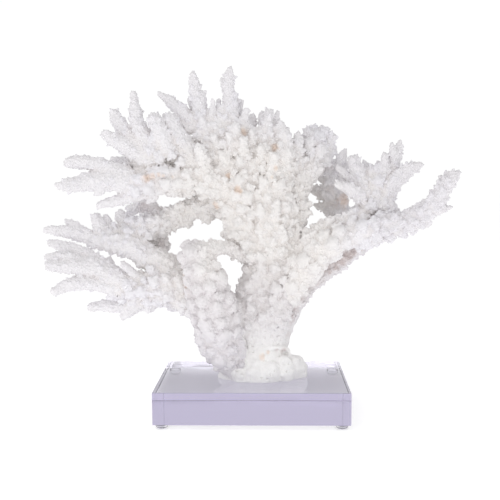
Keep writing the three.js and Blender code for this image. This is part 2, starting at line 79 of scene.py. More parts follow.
# every limb: node, style, blend, and its path of x, y, z, outer radius in mm, tip first or root first
LIMBS = [
    ("coral_foot", "foot_core", "waxy", 3.0, 0, [(13.4, -3.4, 32.6, 24.2), (13.4, -3.4, 27.5, 26.7), (13.4, -3.4, 21.5, 26.7)]),
    ("coral_foot", "foot_left", "waxy", 3.0, 1, [(-4.7, -9.4, 33.2, 14.0), (-8.0, -10.4, 28.4, 11.6)]),
    ("coral_foot", "foot_right", "waxy", 3.0, 1, [(33.3, -5.4, 32.3, 14.1), (40.0, -5.4, 28.9, 13.3)]),
    ("coral_foot", "foot_lobe_r", "waxy", 3.0, 0, [(38.2, -7.4, 37.8, 11.6), (41.5, -8.4, 36.4, 11.8)]),
    ("coral_foot", "foot_front", "waxy", 3.0, 0, [(7.0, -16.4, 32.6, 11.4), (21.7, -17.4, 32.9, 13.0)]),
    ("coral_foot", "foot_mid", "waxy", 3.0, 0, [(22.5, -16.4, 44.2, 8.1), (25.0, -17.4, 37.0, 10.6)]),
    ("coral_centre_fan", "t_left", "big", 5.0, 1, [(8.5, -7.4, 34.4, 19.9), (8.5, -7.4, 55.5, 14.0), (8.7, -9.4, 78.4, 14.8), (8.8, -11.4, 98.6, 13.8), (11.3, -12.4, 111.0, 12.2), (13.8, -13.4, 122.6, 10.1), (9.0, -15.4, 135.0, 11.3), (0.2, -15.4, 148.7, 13.7), (-0.5, -15.4, 164.0, 14.4), (2.0, -15.4, 179.9, 13.6), (5.3, -15.4, 199.0, 11.2)]),
    ("coral_centre_fan", "t_mid", "big", 5.0, 1, [(20.1, -5.4, 33.9, 19.9), (20.1, -5.4, 55.0, 15.7), (24.3, -7.4, 80.5, 17.3), (26.7, -7.4, 101.3, 18.8), (25.1, -7.4, 121.9, 18.0), (21.9, -7.4, 142.4, 19.5), (21.9, -7.4, 162.7, 21.1), (22.0, -7.4, 182.9, 20.2), (21.2, -7.4, 200.6, 16.9)]),
    ("coral_centre_fan", "t_right", "big", 5.0, 1, [(25.5, -4.4, 50.6, 6.6), (27.6, -5.4, 71.8, 8.1), (31.7, -7.4, 89.7, 9.7), (38.2, -7.4, 104.6, 12.7)]),
    ("coral_centre_fan", "fan_right", "mid", 4.0, 1, [(28.4, -3.4, 123.9, 11.5), (37.5, -2.4, 141.9, 10.3), (41.6, -1.4, 161.5, 12.3), (42.5, 0.6, 177.8, 13.1), (47.4, 2.6, 191.7, 13.9), (53.2, 4.6, 202.3, 11.5)]),
    ("coral_centre_fan", "fan_back", "big", 5.0, 1, [(21.8, 0.6, 91.7, 13.3), (16.9, 10.6, 124.1, 13.4), (16.9, 12.6, 157.6, 15.1), (17.0, 12.6, 186.8, 14.2)]),
    ("coral_front_column", "col", "cone", 4.0, 1, [(-4.5, -13.4, 36.8, 12.3), (-13.7, -23.4, 54.9, 16.1), (-17.9, -31.4, 74.4, 17.8), (-21.9, -38.4, 94.8, 17.6), (-25.5, -41.4, 110.2, 15.9), (-30.5, -44.4, 123.8, 13.1), (-35.7, -45.4, 134.0, 10.4)]),
    ("coral_front_column", "bridge", "nub", 2.5, 0, [(-28.1, -43.4, 138.4, 6.2), (-17.9, -35.4, 138.8, 5.5), (-8.2, -25.4, 136.7, 5.4), (1.8, -17.4, 131.9, 7.2)]),
    ("coral_front_column", "col_lobe", "cone", 4.0, 0, [(-21.3, -37.4, 130.0, 4.7), (-26.9, -41.4, 126.6, 7.7)]),
    ("coral_front_column", "col_lobe2", "cone", 4.0, 0, [(-34.6, -31.4, 69.6, 4.4), (-27.4, -31.4, 71.2, 7.9)]),
    ("coral_lower_left_spray", "ll_body", "big", 5.0, 1, [(-25.0, -19.4, 83.5, 12.1), (-41.7, -13.4, 94.8, 15.5), (-58.4, -9.4, 104.9, 18.0), (-75.1, -7.4, 103.8, 14.8), (-91.6, -7.4, 101.4, 10.7), (-106.5, -7.4, 102.2, 6.6)]),
    ("coral_lower_left_spray", "ll_link", "low", 4.0, 1, [(-56.9, -7.4, 109.6, 13.1), (-64.6, -3.4, 123.2, 10.7), (-77.6, 0.6, 127.8, 11.6), (-90.3, 2.6, 136.0, 11.2), (-104.8, 4.6, 140.0, 10.4), (-119.8, 4.6, 141.7, 7.5)]),
    ("coral_lower_left_spray", "LL5", "fine", 2.5, 0, [(-149.2, -23.4, 102.9, 3.2), (-139.6, -19.4, 107.2, 4.8), (-126.8, -15.4, 108.3, 5.3), (-111.3, -11.4, 106.1, 6.1), (-95.7, -7.4, 103.0, 7.4)]),
    ("coral_lower_left_spray", "LL6", "fine", 2.5, 0, [(-124.0, 2.6, 85.5, 3.9), (-114.3, 0.6, 87.1, 4.3), (-101.3, -1.4, 87.0, 5.2), (-88.4, -3.4, 89.0, 6.6), (-75.6, -5.4, 94.4, 7.4)]),
    ("coral_lower_left_spray", "LL4", "fine", 2.5, 0, [(-153.0, -19.4, 123.1, 4.2), (-144.6, -17.4, 122.0, 5.1), (-133.8, -15.4, 121.4, 5.9), (-123.1, -12.4, 120.2, 6.9), (-111.6, -9.4, 115.7, 8.2), (-95.6, -7.4, 108.0, 9.0)]),
    ("coral_lower_left_spray", "LL4b", "fine", 2.5, 0, [(-155.2, -15.4, 129.7, 3.4), (-147.1, -13.4, 129.5, 4.1), (-137.6, -12.4, 127.8, 4.7), (-126.5, -11.4, 125.0, 5.5), (-115.4, -10.4, 120.0, 6.5)]),
    ("coral_lower_left_spray", "LL3", "fine", 2.5, 0, [(-158.2, 0.6, 139.2, 3.3), (-148.5, -1.4, 137.3, 4.1), (-137.3, -3.4, 133.7, 5.0), (-124.5, -5.4, 127.7, 5.8), (-111.9, -7.4, 119.6, 6.6)]),
    ("coral_lower_left_spray", "LL4n", "fine", 2.5, 0, [(-110.1, 0.6, 125.3, 2.5), (-106.6, -1.4, 117.2, 3.3)]),
    ("coral_lower_left_spray", "LL4m", "fine", 2.5, 0, [(-95.5, -15.4, 123.8, 2.8), (-85.0, -11.4, 112.6, 3.7)]),
    ("coral_lower_left_spray", "LL6n", "fine", 2.5, 0, [(-98.7, -3.4, 77.3, 2.5), (-89.3, -3.4, 84.8, 4.1)]),
    ("coral_lower_left_spray", "LL7", "fine", 2.5, 0, [(-76.4, -11.4, 86.2, 3.3), (-70.1, -9.4, 91.7, 4.9)]),
    ("coral_middle_left_branch", "ml_body", "nub", 2.5, 1, [(-4.0, -7.4, 172.5, 12.2), (-22.3, -1.4, 172.0, 9.4), (-38.3, 2.6, 169.0, 8.7), (-54.6, 6.6, 160.6, 9.6), (-68.3, 8.6, 154.3, 10.5), (-83.8, 10.6, 150.4, 11.8), (-97.4, 10.6, 146.2, 10.9), (-111.0, 10.6, 143.7, 8.4)]),
    ("coral_middle_left_branch", "LL1", "fine", 2.5, 0, [(-160.8, 0.6, 150.4, 3.3), (-151.0, 2.6, 149.4, 4.2), (-136.5, 4.6, 146.8, 5.3), (-121.1, 6.6, 141.5, 6.7)]),
    ("coral_middle_left_branch", "LL1b", "fine", 2.5, 0, [(-146.1, 8.6, 156.6, 2.1), (-135.2, 6.6, 151.6, 2.9), (-125.2, 6.6, 145.8, 3.3)]),
    ("coral_middle_left_branch", "LL2", "fine", 2.5, 0, [(-121.5, 6.6, 160.8, 3.8), (-118.6, 7.6, 153.2, 6.3), (-110.5, 8.6, 144.7, 7.5)]),
    ("coral_middle_left_branch", "LL2b", "fine", 2.5, 0, [(-114.8, 12.6, 161.3, 1.5), (-110.8, 10.6, 153.0, 3.4)]),
    ("coral_middle_left_branch", "LL2c", "fine", 2.5, 0, [(-102.1, 14.6, 161.2, 4.2), (-95.9, 12.6, 154.5, 6.3), (-88.9, 10.6, 149.6, 6.7)]),
    ("coral_middle_left_branch", "ML_up", "nub", 2.5, 0, [(-49.0, -5.4, 171.0, 3.3), (-53.9, 0.6, 163.4, 5.8)]),
    # back fingers that sit in shade; their dark colour is painted shade from kind 1 marks
    ("coral_middle_left_branch", "back_brown", "nub", 2.5, 0, [(-94.1, 32.6, 166.4, 6.1), (-80.7, 30.6, 169.8, 6.5), (-73.9, 24.6, 162.3, 6.0), (-78.0, 16.6, 154.2, 6.8)]),
    ("coral_lower_left_spray", "back_brown2", "nub", 2.5, 1, [(-78.4, 18.6, 145.6, 7.7), (-68.3, 18.6, 137.9, 6.4), (-71.0, 12.6, 129.9, 5.9)]),
    ("coral_middle_left_branch", "nub207", "nub", 2.5, 0, [(-28.0, -3.4, 159.4, 3.5), (-26.3, -3.4, 166.8, 4.9)]),
    ("coral_middle_left_branch", "nub188", "nub", 2.5, 0, [(-44.7, 2.6, 155.4, 3.8), (-45.8, 2.6, 162.4, 5.8)]),
    ("coral_upper_left_branch", "ul_body", "big", 5.0, 1, [(-0.6, -11.4, 178.3, 15.3), (-14.9, -13.4, 185.6, 15.2), (-30.8, -15.4, 190.4, 13.6), (-48.1, -17.4, 191.7, 12.8), (-63.9, -19.4, 190.2, 11.9), (-77.9, -21.4, 189.0, 11.1), (-91.9, -23.4, 188.3, 9.5)]),
    ("coral_upper_left_branch", "UL1", "fine", 2.5, 0, [(-133.2, -29.4, 204.9, 3.9), (-121.5, -27.4, 205.4, 4.7), (-106.3, -25.4, 202.1, 5.5), (-91.0, -23.4, 196.2, 6.3)]),
    ("coral_upper_left_branch", "ULs", "nub", 2.5, 0, [(-101.9, -11.4, 207.5, 2.8), (-93.4, -13.4, 205.8, 4.0), (-78.7, -15.4, 203.3, 5.6), (-64.0, -17.4, 199.3, 7.2)]),
    ("coral_upper_left_branch", "UL2", "fine", 2.5, 0, [(-140.5, -33.4, 187.0, 3.0), (-131.2, -31.4, 188.5, 5.5), (-119.3, -28.4, 190.0, 7.5), (-106.5, -25.4, 191.5, 8.3), (-91.1, -23.4, 190.7, 9.5)]),
    ("coral_upper_left_branch", "UL2n", "fine", 2.5, 0, [(-112.2, -29.4, 180.6, 2.0), (-108.6, -27.4, 185.3, 3.9)]),
    ("coral_upper_left_branch", "UL3", "fine", 2.5, 0, [(-112.3, -17.4, 171.6, 3.2), (-101.9, -18.4, 174.0, 3.6), (-89.6, -19.4, 178.0, 4.8), (-76.0, -19.4, 183.5, 7.2)]),
    ("coral_upper_left_branch", "ul_fan", "big", 5.0, 1, [(-28.5, -13.4, 195.2, 12.8), (-40.2, -15.4, 205.6, 11.2), (-54.2, -17.4, 213.5, 10.3), (-67.4, -19.4, 216.6, 9.5), (-79.3, -19.4, 218.2, 7.9)]),
    ("coral_upper_left_branch", "F1", "fine", 2.5, 0, [(-83.4, -21.4, 258.2, 2.6), (-82.4, -21.4, 247.8, 4.3), (-80.5, -20.4, 234.6, 5.9), (-75.3, -19.4, 222.1, 7.9)]),
    ("coral_upper_left_branch", "F2", "fine", 2.5, 0, [(-100.3, -15.4, 243.7, 4.1), (-95.7, -17.4, 235.7, 5.0), (-88.0, -19.4, 225.3, 5.9), (-77.8, -19.4, 215.1, 7.1)]),
    ("coral_upper_left_branch", "F3", "fine", 2.5, 0, [(-104.1, -27.4, 226.5, 3.9), (-95.6, -25.4, 221.2, 5.6), (-84.6, -21.4, 215.0, 7.1), (-71.6, -19.4, 207.2, 7.9)]),
    ("coral_upper_left_branch", "F4a", "fine", 2.5, 0, [(-66.3, -27.4, 238.3, 5.5), (-62.5, -25.4, 228.8, 6.3), (-56.9, -21.4, 217.3, 7.5)]),
    ("coral_upper_left_branch", "F4b", "fine", 2.5, 0, [(-55.2, -19.4, 238.8, 5.5), (-49.8, -19.4, 228.3, 6.6), (-42.3, -17.4, 216.6, 7.8), (-32.3, -15.4, 200.8, 9.6)]),
    ("coral_crown", "F5", "fine", 2.5, 0, [(-64.9, -7.4, 259.7, 2.0), (-56.5, -7.4, 254.1, 4.0), (-47.7, -8.4, 246.4, 5.5), (-38.8, -9.4, 238.3, 6.4), (-29.2, -10.4, 228.7, 6.4)]),
    ("coral_crown", "F5b", "fine", 2.5, 0, [(-41.1, -5.4, 254.6, 2.0), (-37.5, -5.4, 245.8, 2.6), (-34.2, -7.4, 237.7, 3.2)]),
    ("coral_upper_left_branch", "Fr5", "nub", 2.5, 0, [(-31.5, -31.4, 215.2, 3.5), (-28.8, -27.4, 206.8, 4.7), (-26.2, -21.4, 197.5, 6.3)]),
    ("coral_crown", "F6", "nub", 2.5, 0, [(-37.4, -11.4, 273.9, 2.8), (-36.3, -11.4, 266.5, 4.5), (-34.1, -11.4, 254.7, 5.6), (-29.8, -11.4, 237.3, 7.2), (-23.6, -11.4, 221.5, 8.8), (-11.6, -12.4, 203.1, 10.4)]),
    ("coral_crown", "F6b", "nub", 2.5, 0, [(-21.0, -15.4, 254.2, 1.6), (-22.4, -13.4, 245.0, 3.2), (-25.0, -12.4, 234.9, 4.8)]),
    ("coral_crown", "F6c", "nub", 2.5, 0, [(-28.0, -11.4, 261.7, 1.6), (-30.5, -11.4, 255.5, 3.2)]),
    ("coral_crown", "F6d", "nub", 2.5, 0, [(-18.2, -3.4, 254.6, 2.3), (-17.4, -4.4, 243.4, 4.0), (-16.5, -7.4, 229.6, 6.4)]),
    ("coral_crown", "F7", "nub", 2.5, 0, [(-8.1, -9.4, 278.3, 2.8), (-9.2, -9.4, 267.3, 5.3), (-8.4, -9.4, 254.7, 6.2), (-6.7, -10.4, 240.4, 7.6), (-2.7, -11.4, 223.0, 9.6), (2.0, -12.4, 207.0, 11.2)]),
    ("coral_crown", "F7b", "nub", 2.5, 0, [(-15.5, -5.4, 271.8, 1.6), (-11.5, -7.4, 264.4, 3.2)]),
    ("coral_crown", "F7c", "nub", 2.5, 0, [(1.1, -1.4, 253.9, 1.9), (-2.1, -3.4, 245.8, 3.6)]),
    ("coral_crown", "F7d", "nub", 2.5, 0, [(5.1, -15.4, 246.2, 2.2), (3.0, -13.4, 237.0, 4.0), (2.1, -12.4, 224.5, 6.4)]),
    ("coral_crown", "F7e", "nub", 2.5, 0, [(8.7, 0.6, 241.2, 3.3), (7.9, -1.4, 229.0, 5.7), (9.1, -3.4, 215.3, 8.1)]),
    ("coral_crown", "F8", "nub", 2.5, 0, [(22.9, -11.4, 244.1, 3.6), (22.1, -11.4, 235.5, 6.0), (21.2, -11.4, 221.3, 7.6), (20.4, -10.4, 205.4, 11.2)]),
    ("coral_crown", "F8b", "nub", 2.5, 0, [(17.7, -3.4, 243.3, 2.6), (18.9, -5.4, 235.1, 4.0)]),
    ("coral_crown", "F8c", "nub", 2.5, 0, [(29.7, -5.4, 244.6, 2.1), (27.7, -7.4, 235.7, 4.0)]),
    ("coral_crown", "F9", "nub", 2.5, 0, [(32.0, -15.4, 235.1, 2.8), (34.7, -15.4, 226.5, 5.6), (35.6, -13.4, 214.8, 8.0), (31.6, -11.4, 198.9, 11.2)]),
    ("coral_crown", "F10", "nub", 2.5, 0, [(46.5, -7.4, 226.9, 2.6), (45.4, -7.4, 218.1, 6.0), (40.6, -5.4, 205.4, 8.9)]),
    ("coral_club_branch", "club", "knobby", 3.0, 0, [(63.5, 12.6, 222.2, 11.2), (57.7, 10.6, 213.9, 11.2), (50.9, 6.6, 204.8, 10.7), (41.7, 2.6, 194.2, 10.7)]),
    ("coral_club_branch", "club_l", "nub", 2.5, 0, [(55.7, 6.6, 228.4, 4.1), (59.2, 8.6, 218.7, 6.6)]),
    ("coral_club_branch", "club_t", "nub", 2.5, 0, [(67.2, 18.6, 231.6, 4.2), (66.2, 14.6, 221.4, 7.5)]),
    ("coral_club_branch", "club_r", "nub", 2.5, 0, [(74.1, 10.6, 225.3, 4.1), (69.2, 10.6, 218.0, 6.6)]),
    ("coral_club_branch", "club_rr", "nub", 2.5, 0, [(74.5, 14.6, 215.6, 4.6), (66.8, 10.6, 210.6, 7.5)]),
    ("coral_right_arm", "ra_body", "lobe", 4.0, 1, [(39.8, -9.4, 101.5, 14.7), (49.2, -15.4, 118.7, 14.5), (61.8, -19.4, 132.4, 12.8), (75.8, -22.4, 141.1, 11.1), (89.7, -24.4, 147.1, 9.9), (102.1, -25.4, 152.3, 9.4), (114.3, -27.4, 155.5, 9.4)]),
    ("coral_right_arm", "ra_up", "nub", 2.5, 1, [(57.3, -13.4, 137.9, 11.3), (66.9, -13.4, 147.6, 9.7), (78.2, -12.4, 153.1, 8.9), (91.1, -11.4, 159.5, 8.0)]),
    ("coral_right_arm", "ra_nub1", "nub", 2.5, 0, [(57.2, -15.4, 148.1, 2.8), (59.7, -13.4, 141.9, 6.4)]),
    ("coral_right_back_stem", "rs_stem", "stem", 4.0, 1, [(31.4, 0.6, 52.9, 6.3), (37.3, 5.6, 71.0, 7.6), (46.7, 9.6, 89.4, 7.9), (62.1, 14.6, 107.8, 7.6), (80.0, 17.6, 119.4, 7.5), (93.5, 14.6, 130.7, 6.7), (105.5, 10.6, 140.7, 7.1)]),
    ("coral_right_arm", "ra_low", "nub", 2.5, 1, [(96.9, -17.4, 143.8, 8.0), (110.2, -19.4, 146.3, 6.4), (119.3, -21.4, 148.0, 6.3)]),
    ("coral_right_spray", "rs_body", "big", 5.0, 1, [(89.3, -13.4, 154.0, 9.6), (99.9, -11.4, 165.1, 10.5), (107.2, -9.4, 177.8, 11.3), (112.2, -7.4, 190.6, 10.5)]),
    ("coral_right_spray", "RS1", "spray", 2.5, 0, [(91.8, -5.4, 206.4, 4.4), (94.7, -5.4, 197.1, 6.5), (99.4, -7.4, 184.3, 8.1)]),
    ("coral_right_spray", "RS1d", "spray", 2.5, 0, [(105.2, -5.4, 197.9, 3.6), (106.6, -7.4, 189.1, 6.4)]),
    ("coral_right_spray", "RS1b", "spray", 2.5, 0, [(101.3, 2.6, 204.5, 1.9), (102.5, -1.4, 193.9, 4.1)]),
    ("coral_right_spray", "RS1c", "spray", 2.5, 0, [(111.6, 0.6, 205.2, 1.9), (110.3, -3.4, 195.5, 4.1)]),
    ("coral_right_spray", "RS2", "spray", 2.5, 0, [(114.6, -13.4, 209.6, 2.7), (115.3, -12.4, 201.8, 3.3), (114.9, -10.4, 190.6, 5.6)]),
    ("coral_right_spray", "RS3", "spray", 2.5, 0, [(121.1, -9.4, 218.5, 1.8), (122.0, -9.4, 211.3, 3.2)]),
    ("coral_right_spray", "RS3b", "spray", 2.5, 0, [(128.2, -5.4, 221.0, 2.1), (125.8, -5.4, 213.8, 4.4), (121.8, -6.4, 202.6, 6.0), (117.0, -7.4, 189.0, 7.3)]),
    ("coral_right_spray", "RS4", "spray", 2.5, 0, [(140.5, -21.4, 202.3, 2.7), (131.9, -19.4, 198.0, 4.9), (123.7, -15.4, 190.2, 6.8), (116.4, -12.4, 178.7, 7.2)]),
    ("coral_right_spray", "RS5", "spray", 2.5, 0, [(77.2, -21.4, 186.9, 3.2), (85.5, -17.4, 184.4, 4.0), (97.1, -13.4, 177.2, 6.4)]),
    ("coral_right_spray", "RS6", "spray", 2.5, 0, [(80.5, 6.6, 200.6, 3.0), (89.2, 2.6, 193.2, 4.1), (98.3, -3.4, 182.6, 5.7)]),
    ("coral_right_spray", "RS7", "spray", 2.5, 0, [(86.3, 16.6, 214.8, 1.8), (83.1, 16.6, 208.2, 4.6), (86.3, 14.6, 197.4, 5.4), (93.0, 6.6, 182.5, 6.6)]),
    ("coral_right_spray", "RS_base", "spray", 2.5, 0, [(119.7, -17.4, 167.7, 6.4), (111.5, -13.4, 171.5, 8.8)]),
    ("coral_far_right_branch", "fr_body", "nub", 2.5, 0, [(159.6, -51.4, 193.5, 4.9), (156.1, -49.4, 187.5, 6.0), (152.2, -47.4, 180.4, 6.4), (148.0, -43.4, 173.2, 7.2), (140.8, -38.4, 165.4, 8.4), (131.9, -33.4, 159.4, 8.9), (121.8, -29.4, 155.7, 9.4), (111.2, -27.4, 154.8, 9.4)]),
    ("coral_far_right_branch", "fr1", "nub", 2.5, 0, [(153.3, -41.4, 192.8, 2.0), (153.7, -43.4, 186.0, 3.0)]),
    ("coral_far_right_branch", "fr2", "nub", 2.5, 0, [(158.8, -47.4, 169.9, 2.1), (153.6, -45.4, 167.9, 3.3), (147.0, -41.4, 165.9, 4.6)]),
    ("coral_far_right_branch", "fr3", "nub", 2.5, 0, [(145.4, -37.4, 156.8, 2.3), (138.5, -35.4, 156.7, 3.9), (130.4, -33.4, 156.6, 5.4)]),
    ("coral_far_right_branch", "fr4", "nub", 2.5, 0, [(145.1, -45.4, 181.9, 1.5), (149.2, -44.4, 177.7, 3.4)]),
    ("coral_far_right_branch", "fr5", "nub", 2.5, 0, [(134.4, -33.4, 169.0, 2.3), (136.1, -35.4, 162.9, 4.6)]),
    ("coral_far_right_branch", "fr6", "nub", 2.5, 0, [(141.0, -40.4, 175.4, 1.7), (144.9, -40.4, 170.0, 3.8)]),
    ("coral_back_branch", "bb", "big", 5.0, 0, [(73.3, 40.6, 201.1, 7.8), (75.9, 39.6, 189.0, 10.4), (80.0, 36.6, 175.2, 10.8), (83.9, 30.6, 161.6, 10.3), (86.6, 22.6, 146.6, 10.2), (87.6, 14.6, 135.4, 8.4)]),
    ("coral_back_branch", "bb2", "nub", 2.5, 0, [(64.5, 36.6, 168.7, 2.6), (72.3, 36.6, 167.4, 5.2)]),
    ("coral_back_branch", "bb3", "nub", 2.5, 0, [(61.1, 38.6, 182.1, 3.5), (69.8, 38.6, 178.6, 6.1)]),
    ("coral_back_branch", "bb4", "nub", 2.5, 0, [(88.3, 32.6, 177.0, 3.4), (82.5, 34.6, 170.0, 6.0)]),
    ("coral_foot", "stem_root", "low", 5.0, 0, [(31.4, 0.6, 52.9, 6.3), (27.6, -0.4, 45.4, 7.9), (23.4, -1.4, 35.5, 11.7)]),
    ("coral_foot", "fl1", "waxy", 2.0, 0, [(46.4, -9.4, 40.9, 5.4), (48.9, -9.4, 35.0, 6.2), (48.1, -9.4, 29.1, 5.8)]),
    ("coral_foot", "fl2", "waxy", 2.4, 0, [(34.7, -18.4, 44.7, 5.7), (37.1, -19.4, 37.5, 6.9), (36.3, -19.4, 31.7, 6.5)]),
    ("coral_foot", "fl3", "waxy", 2.4, 0, [(24.9, -24.4, 41.3, 5.2), (23.3, -25.4, 34.1, 6.4)]),
    ("coral_foot", "fl4", "waxy", 1.4, 0, [(12.0, -25.4, 38.2, 4.8), (8.8, -25.4, 32.5, 5.6)]),
    ("coral_foot", "fl5", "waxy", 1.6, 0, [(-4.1, -23.4, 36.9, 4.8), (-0.9, -23.4, 31.1, 5.2)]),
    ("coral_foot", "rim", "smooth", 1.8, 0, [(15.3, -19.9, 52.9, 1.8), (20.9, -20.4, 55.5, 2.1), (29.0, -19.9, 56.2, 2.1), (36.4, -14.9, 53.8, 2.0), (39.0, -10.4, 51.1, 1.8)]),
    ("coral_centre_fan", "t_flank", "low", 4.0, 1, [(-10.7, -19.4, 49.9, 7.3), (-7.3, -20.4, 67.3, 9.3), (-3.2, -19.4, 83.5, 7.7), (1.6, -15.4, 94.3, 6.1)]),
    ("coral_crown", "fill1", "nub", 2.5, 0, [(-21.0, -11.4, 237.3, 6.0), (-14.7, -12.4, 224.6, 9.6), (-6.9, -9.4, 208.7, 11.3)]),
    ("coral_crown", "fill2", "nub", 2.5, 0, [(2.1, -9.4, 237.3, 5.6), (4.4, -10.4, 224.6, 8.8), (7.6, -9.4, 210.3, 12.1)]),
    ("coral_crown", "fill3", "nub", 2.5, 0, [(14.1, -11.4, 227.6, 6.4), (17.2, -11.4, 214.9, 9.6), (20.4, -10.4, 203.0, 12.0)]),
    ("coral_crown", "fill4", "nub", 2.5, 0, [(-27.5, -12.4, 226.2, 7.2), (-19.4, -14.4, 213.4, 10.4), (-8.5, -10.4, 199.1, 12.1)]),
    ("coral_crown", "fill5", "nub", 2.5, 0, [(28.5, -9.4, 227.7, 5.6), (29.2, -10.4, 214.9, 9.6), (28.4, -10.4, 200.6, 12.0)]),
    ("coral_crown", "fill6", "nub", 2.5, 0, [(-14.7, -9.4, 246.9, 4.8), (-13.0, -11.4, 237.3, 7.2), (-9.8, -13.4, 226.1, 9.6)]),
    ("coral_crown", "c12", "fine", 2.5, 0, [(-53.0, -11.4, 241.8, 2.4), (-48.3, -11.4, 237.4, 3.2), (-41.9, -11.4, 231.1, 4.0)]),
    ("coral_crown", "c1", "nub", 2.5, 0, [(-3.3, -25.4, 232.7, 3.6), (-1.7, -18.4, 225.0, 4.7)]),
    ("coral_crown", "c2", "nub", 2.5, 0, [(9.5, -22.4, 228.6, 3.1), (9.3, -15.4, 218.8, 4.8)]),
    ("coral_crown", "c3", "nub", 2.5, 0, [(2.6, -27.4, 222.1, 3.1), (3.0, -19.4, 213.1, 4.7)]),
    ("coral_crown", "c4", "nub", 2.5, 0, [(-20.3, -23.4, 224.0, 3.0), (-17.6, -17.4, 214.9, 4.8)]),
    ("coral_crown", "c5", "nub", 2.5, 0, [(-8.5, -24.4, 225.4, 3.1), (-6.5, -17.4, 216.4, 4.8)]),
    ("coral_crown", "c6", "nub", 2.5, 0, [(-17.5, -16.4, 236.9, 3.3), (-16.2, -13.4, 225.3, 4.8)]),
    ("coral_crown", "c7", "nub", 2.5, 0, [(-29.5, -20.4, 237.5, 2.7), (-26.4, -15.4, 230.0, 4.4)]),
    ("coral_crown", "c8", "nub", 2.5, 0, [(26.7, -26.4, 208.9, 3.6), (23.6, -18.4, 196.5, 4.8)]),
    ("coral_crown", "c9", "nub", 2.5, 0, [(16.5, -24.4, 215.2, 3.6), (18.0, -17.4, 204.5, 5.2)]),
    ("coral_crown", "c10", "nub", 2.5, 0, [(-14.0, -25.4, 211.4, 3.1), (-11.3, -19.4, 202.2, 4.8)]),
    ("coral_crown", "c11", "nub", 2.5, 0, [(37.7, -21.4, 212.9, 3.3), (36.3, -15.4, 203.6, 4.8)]),
    ("coral_centre_fan", "ff7", "big", 5.0, 1, [(33.9, -15.4, 113.0, 8.9), (38.0, -14.4, 123.5, 7.3), (40.4, -13.4, 131.5, 5.2)]),
    ("coral_centre_fan", "ff8", "mid", 4.0, 1, [(35.6, -12.4, 123.2, 7.3), (39.7, -10.4, 135.2, 7.7), (42.2, -7.4, 145.6, 7.3)]),
    ("coral_centre_fan", "ff1", "nub", 2.5, 0, [(65.9, -1.4, 199.3, 2.6), (58.8, 0.6, 194.9, 4.1), (49.9, 2.6, 189.2, 5.7)]),
    ("coral_centre_fan", "ff2", "nub", 2.5, 0, [(55.7, -5.4, 171.9, 2.7), (48.0, -3.4, 168.2, 4.5)]),
    ("coral_centre_fan", "ff3", "nub", 2.5, 0, [(55.6, -7.4, 164.6, 2.3), (48.0, -4.4, 160.9, 4.1)]),
    ("coral_centre_fan", "ff4", "nub", 2.5, 0, [(51.7, -3.4, 156.3, 2.7), (44.8, -3.4, 152.6, 4.5)]),
    ("coral_centre_fan", "ff5", "nub", 2.5, 0, [(-14.0, -13.4, 147.4, 3.1), (-6.3, -13.4, 146.1, 4.8)]),
    ("coral_centre_fan", "ff6", "nub", 2.5, 0, [(-17.5, -13.4, 162.7, 3.4), (-8.6, -13.4, 162.3, 5.6)]),
    ("coral_club_branch", "cl1", "nub", 2.5, 0, [(55.3, -1.4, 220.8, 4.5), (53.1, 2.6, 210.4, 6.5)]),
    ("coral_club_branch", "cl2", "nub", 2.5, 0, [(65.2, 0.6, 215.1, 4.9), (59.8, 4.6, 207.2, 6.6)]),
    ("coral_club_branch", "cl3", "nub", 2.5, 0, [(47.9, -3.4, 215.1, 3.6), (47.3, 0.6, 205.5, 5.7)]),
    ("coral_club_branch", "cl4", "nub", 2.5, 0, [(70.8, 8.6, 207.2, 4.1), (62.4, 6.6, 202.3, 6.6)]),
    ("coral_centre_fan", "bkA", "nub", 2.5, 1, [(16.8, 4.6, 103.7, 9.2), (12.6, 18.6, 121.5, 8.5), (8.1, 30.6, 141.1, 7.8), (4.6, 38.6, 163.2, 7.0), (1.9, 42.6, 182.3, 5.3), (0.2, 44.6, 197.1, 3.5)]),
    ("coral_centre_fan", "bkA1", "nub", 2.5, 1, [(11.7, 22.6, 127.1, 6.8), (6.2, 36.6, 133.6, 5.2), (-0.2, 48.6, 141.5, 3.6)]),
    ("coral_centre_fan", "bkA2", "nub", 2.5, 1, [(8.1, 32.6, 143.5, 6.9), (15.0, 44.6, 154.1, 5.3), (20.3, 53.6, 166.1, 3.6)]),
    ("coral_centre_fan", "bkA3", "nub", 2.5, 1, [(4.6, 38.6, 163.2, 6.1), (-5.3, 46.6, 173.5, 4.9), (-11.6, 50.6, 185.7, 3.5)]),
    ("coral_centre_fan", "bkA4", "nub", 2.5, 1, [(3.7, 40.6, 173.6, 6.1), (7.9, 50.6, 185.7, 4.4), (11.4, 55.6, 199.8, 3.1)]),
    ("coral_centre_fan", "bkB", "nub", 2.5, 1, [(25.2, 4.6, 118.0, 8.3), (32.1, 18.6, 136.0, 8.1), (37.4, 28.6, 154.9, 7.7), (39.3, 34.6, 173.6, 6.9), (40.2, 36.6, 190.9, 5.6), (39.4, 36.6, 202.9, 3.9)]),
    ("coral_centre_fan", "bkB1", "nub", 2.5, 1, [(33.9, 20.6, 140.1, 6.8), (40.2, 34.6, 145.9, 4.8), (42.2, 44.6, 155.8, 3.5)]),
    ("coral_centre_fan", "bkB2", "nub", 2.5, 1, [(38.4, 30.6, 160.9, 6.9), (30.8, 42.6, 170.8, 5.3), (26.5, 50.6, 183.0, 3.5)]),
    ("coral_centre_fan", "bkB3", "nub", 2.5, 1, [(39.3, 34.6, 177.1, 6.1), (47.4, 42.6, 187.3, 4.4), (50.2, 46.6, 198.7, 3.5)]),
    ("coral_centre_fan", "bkC", "nub", 2.5, 1, [(16.8, 2.6, 66.0, 8.4), (13.3, 16.6, 76.2, 6.8), (9.7, 26.6, 87.5, 5.2), (7.1, 32.6, 98.9, 3.5)]),
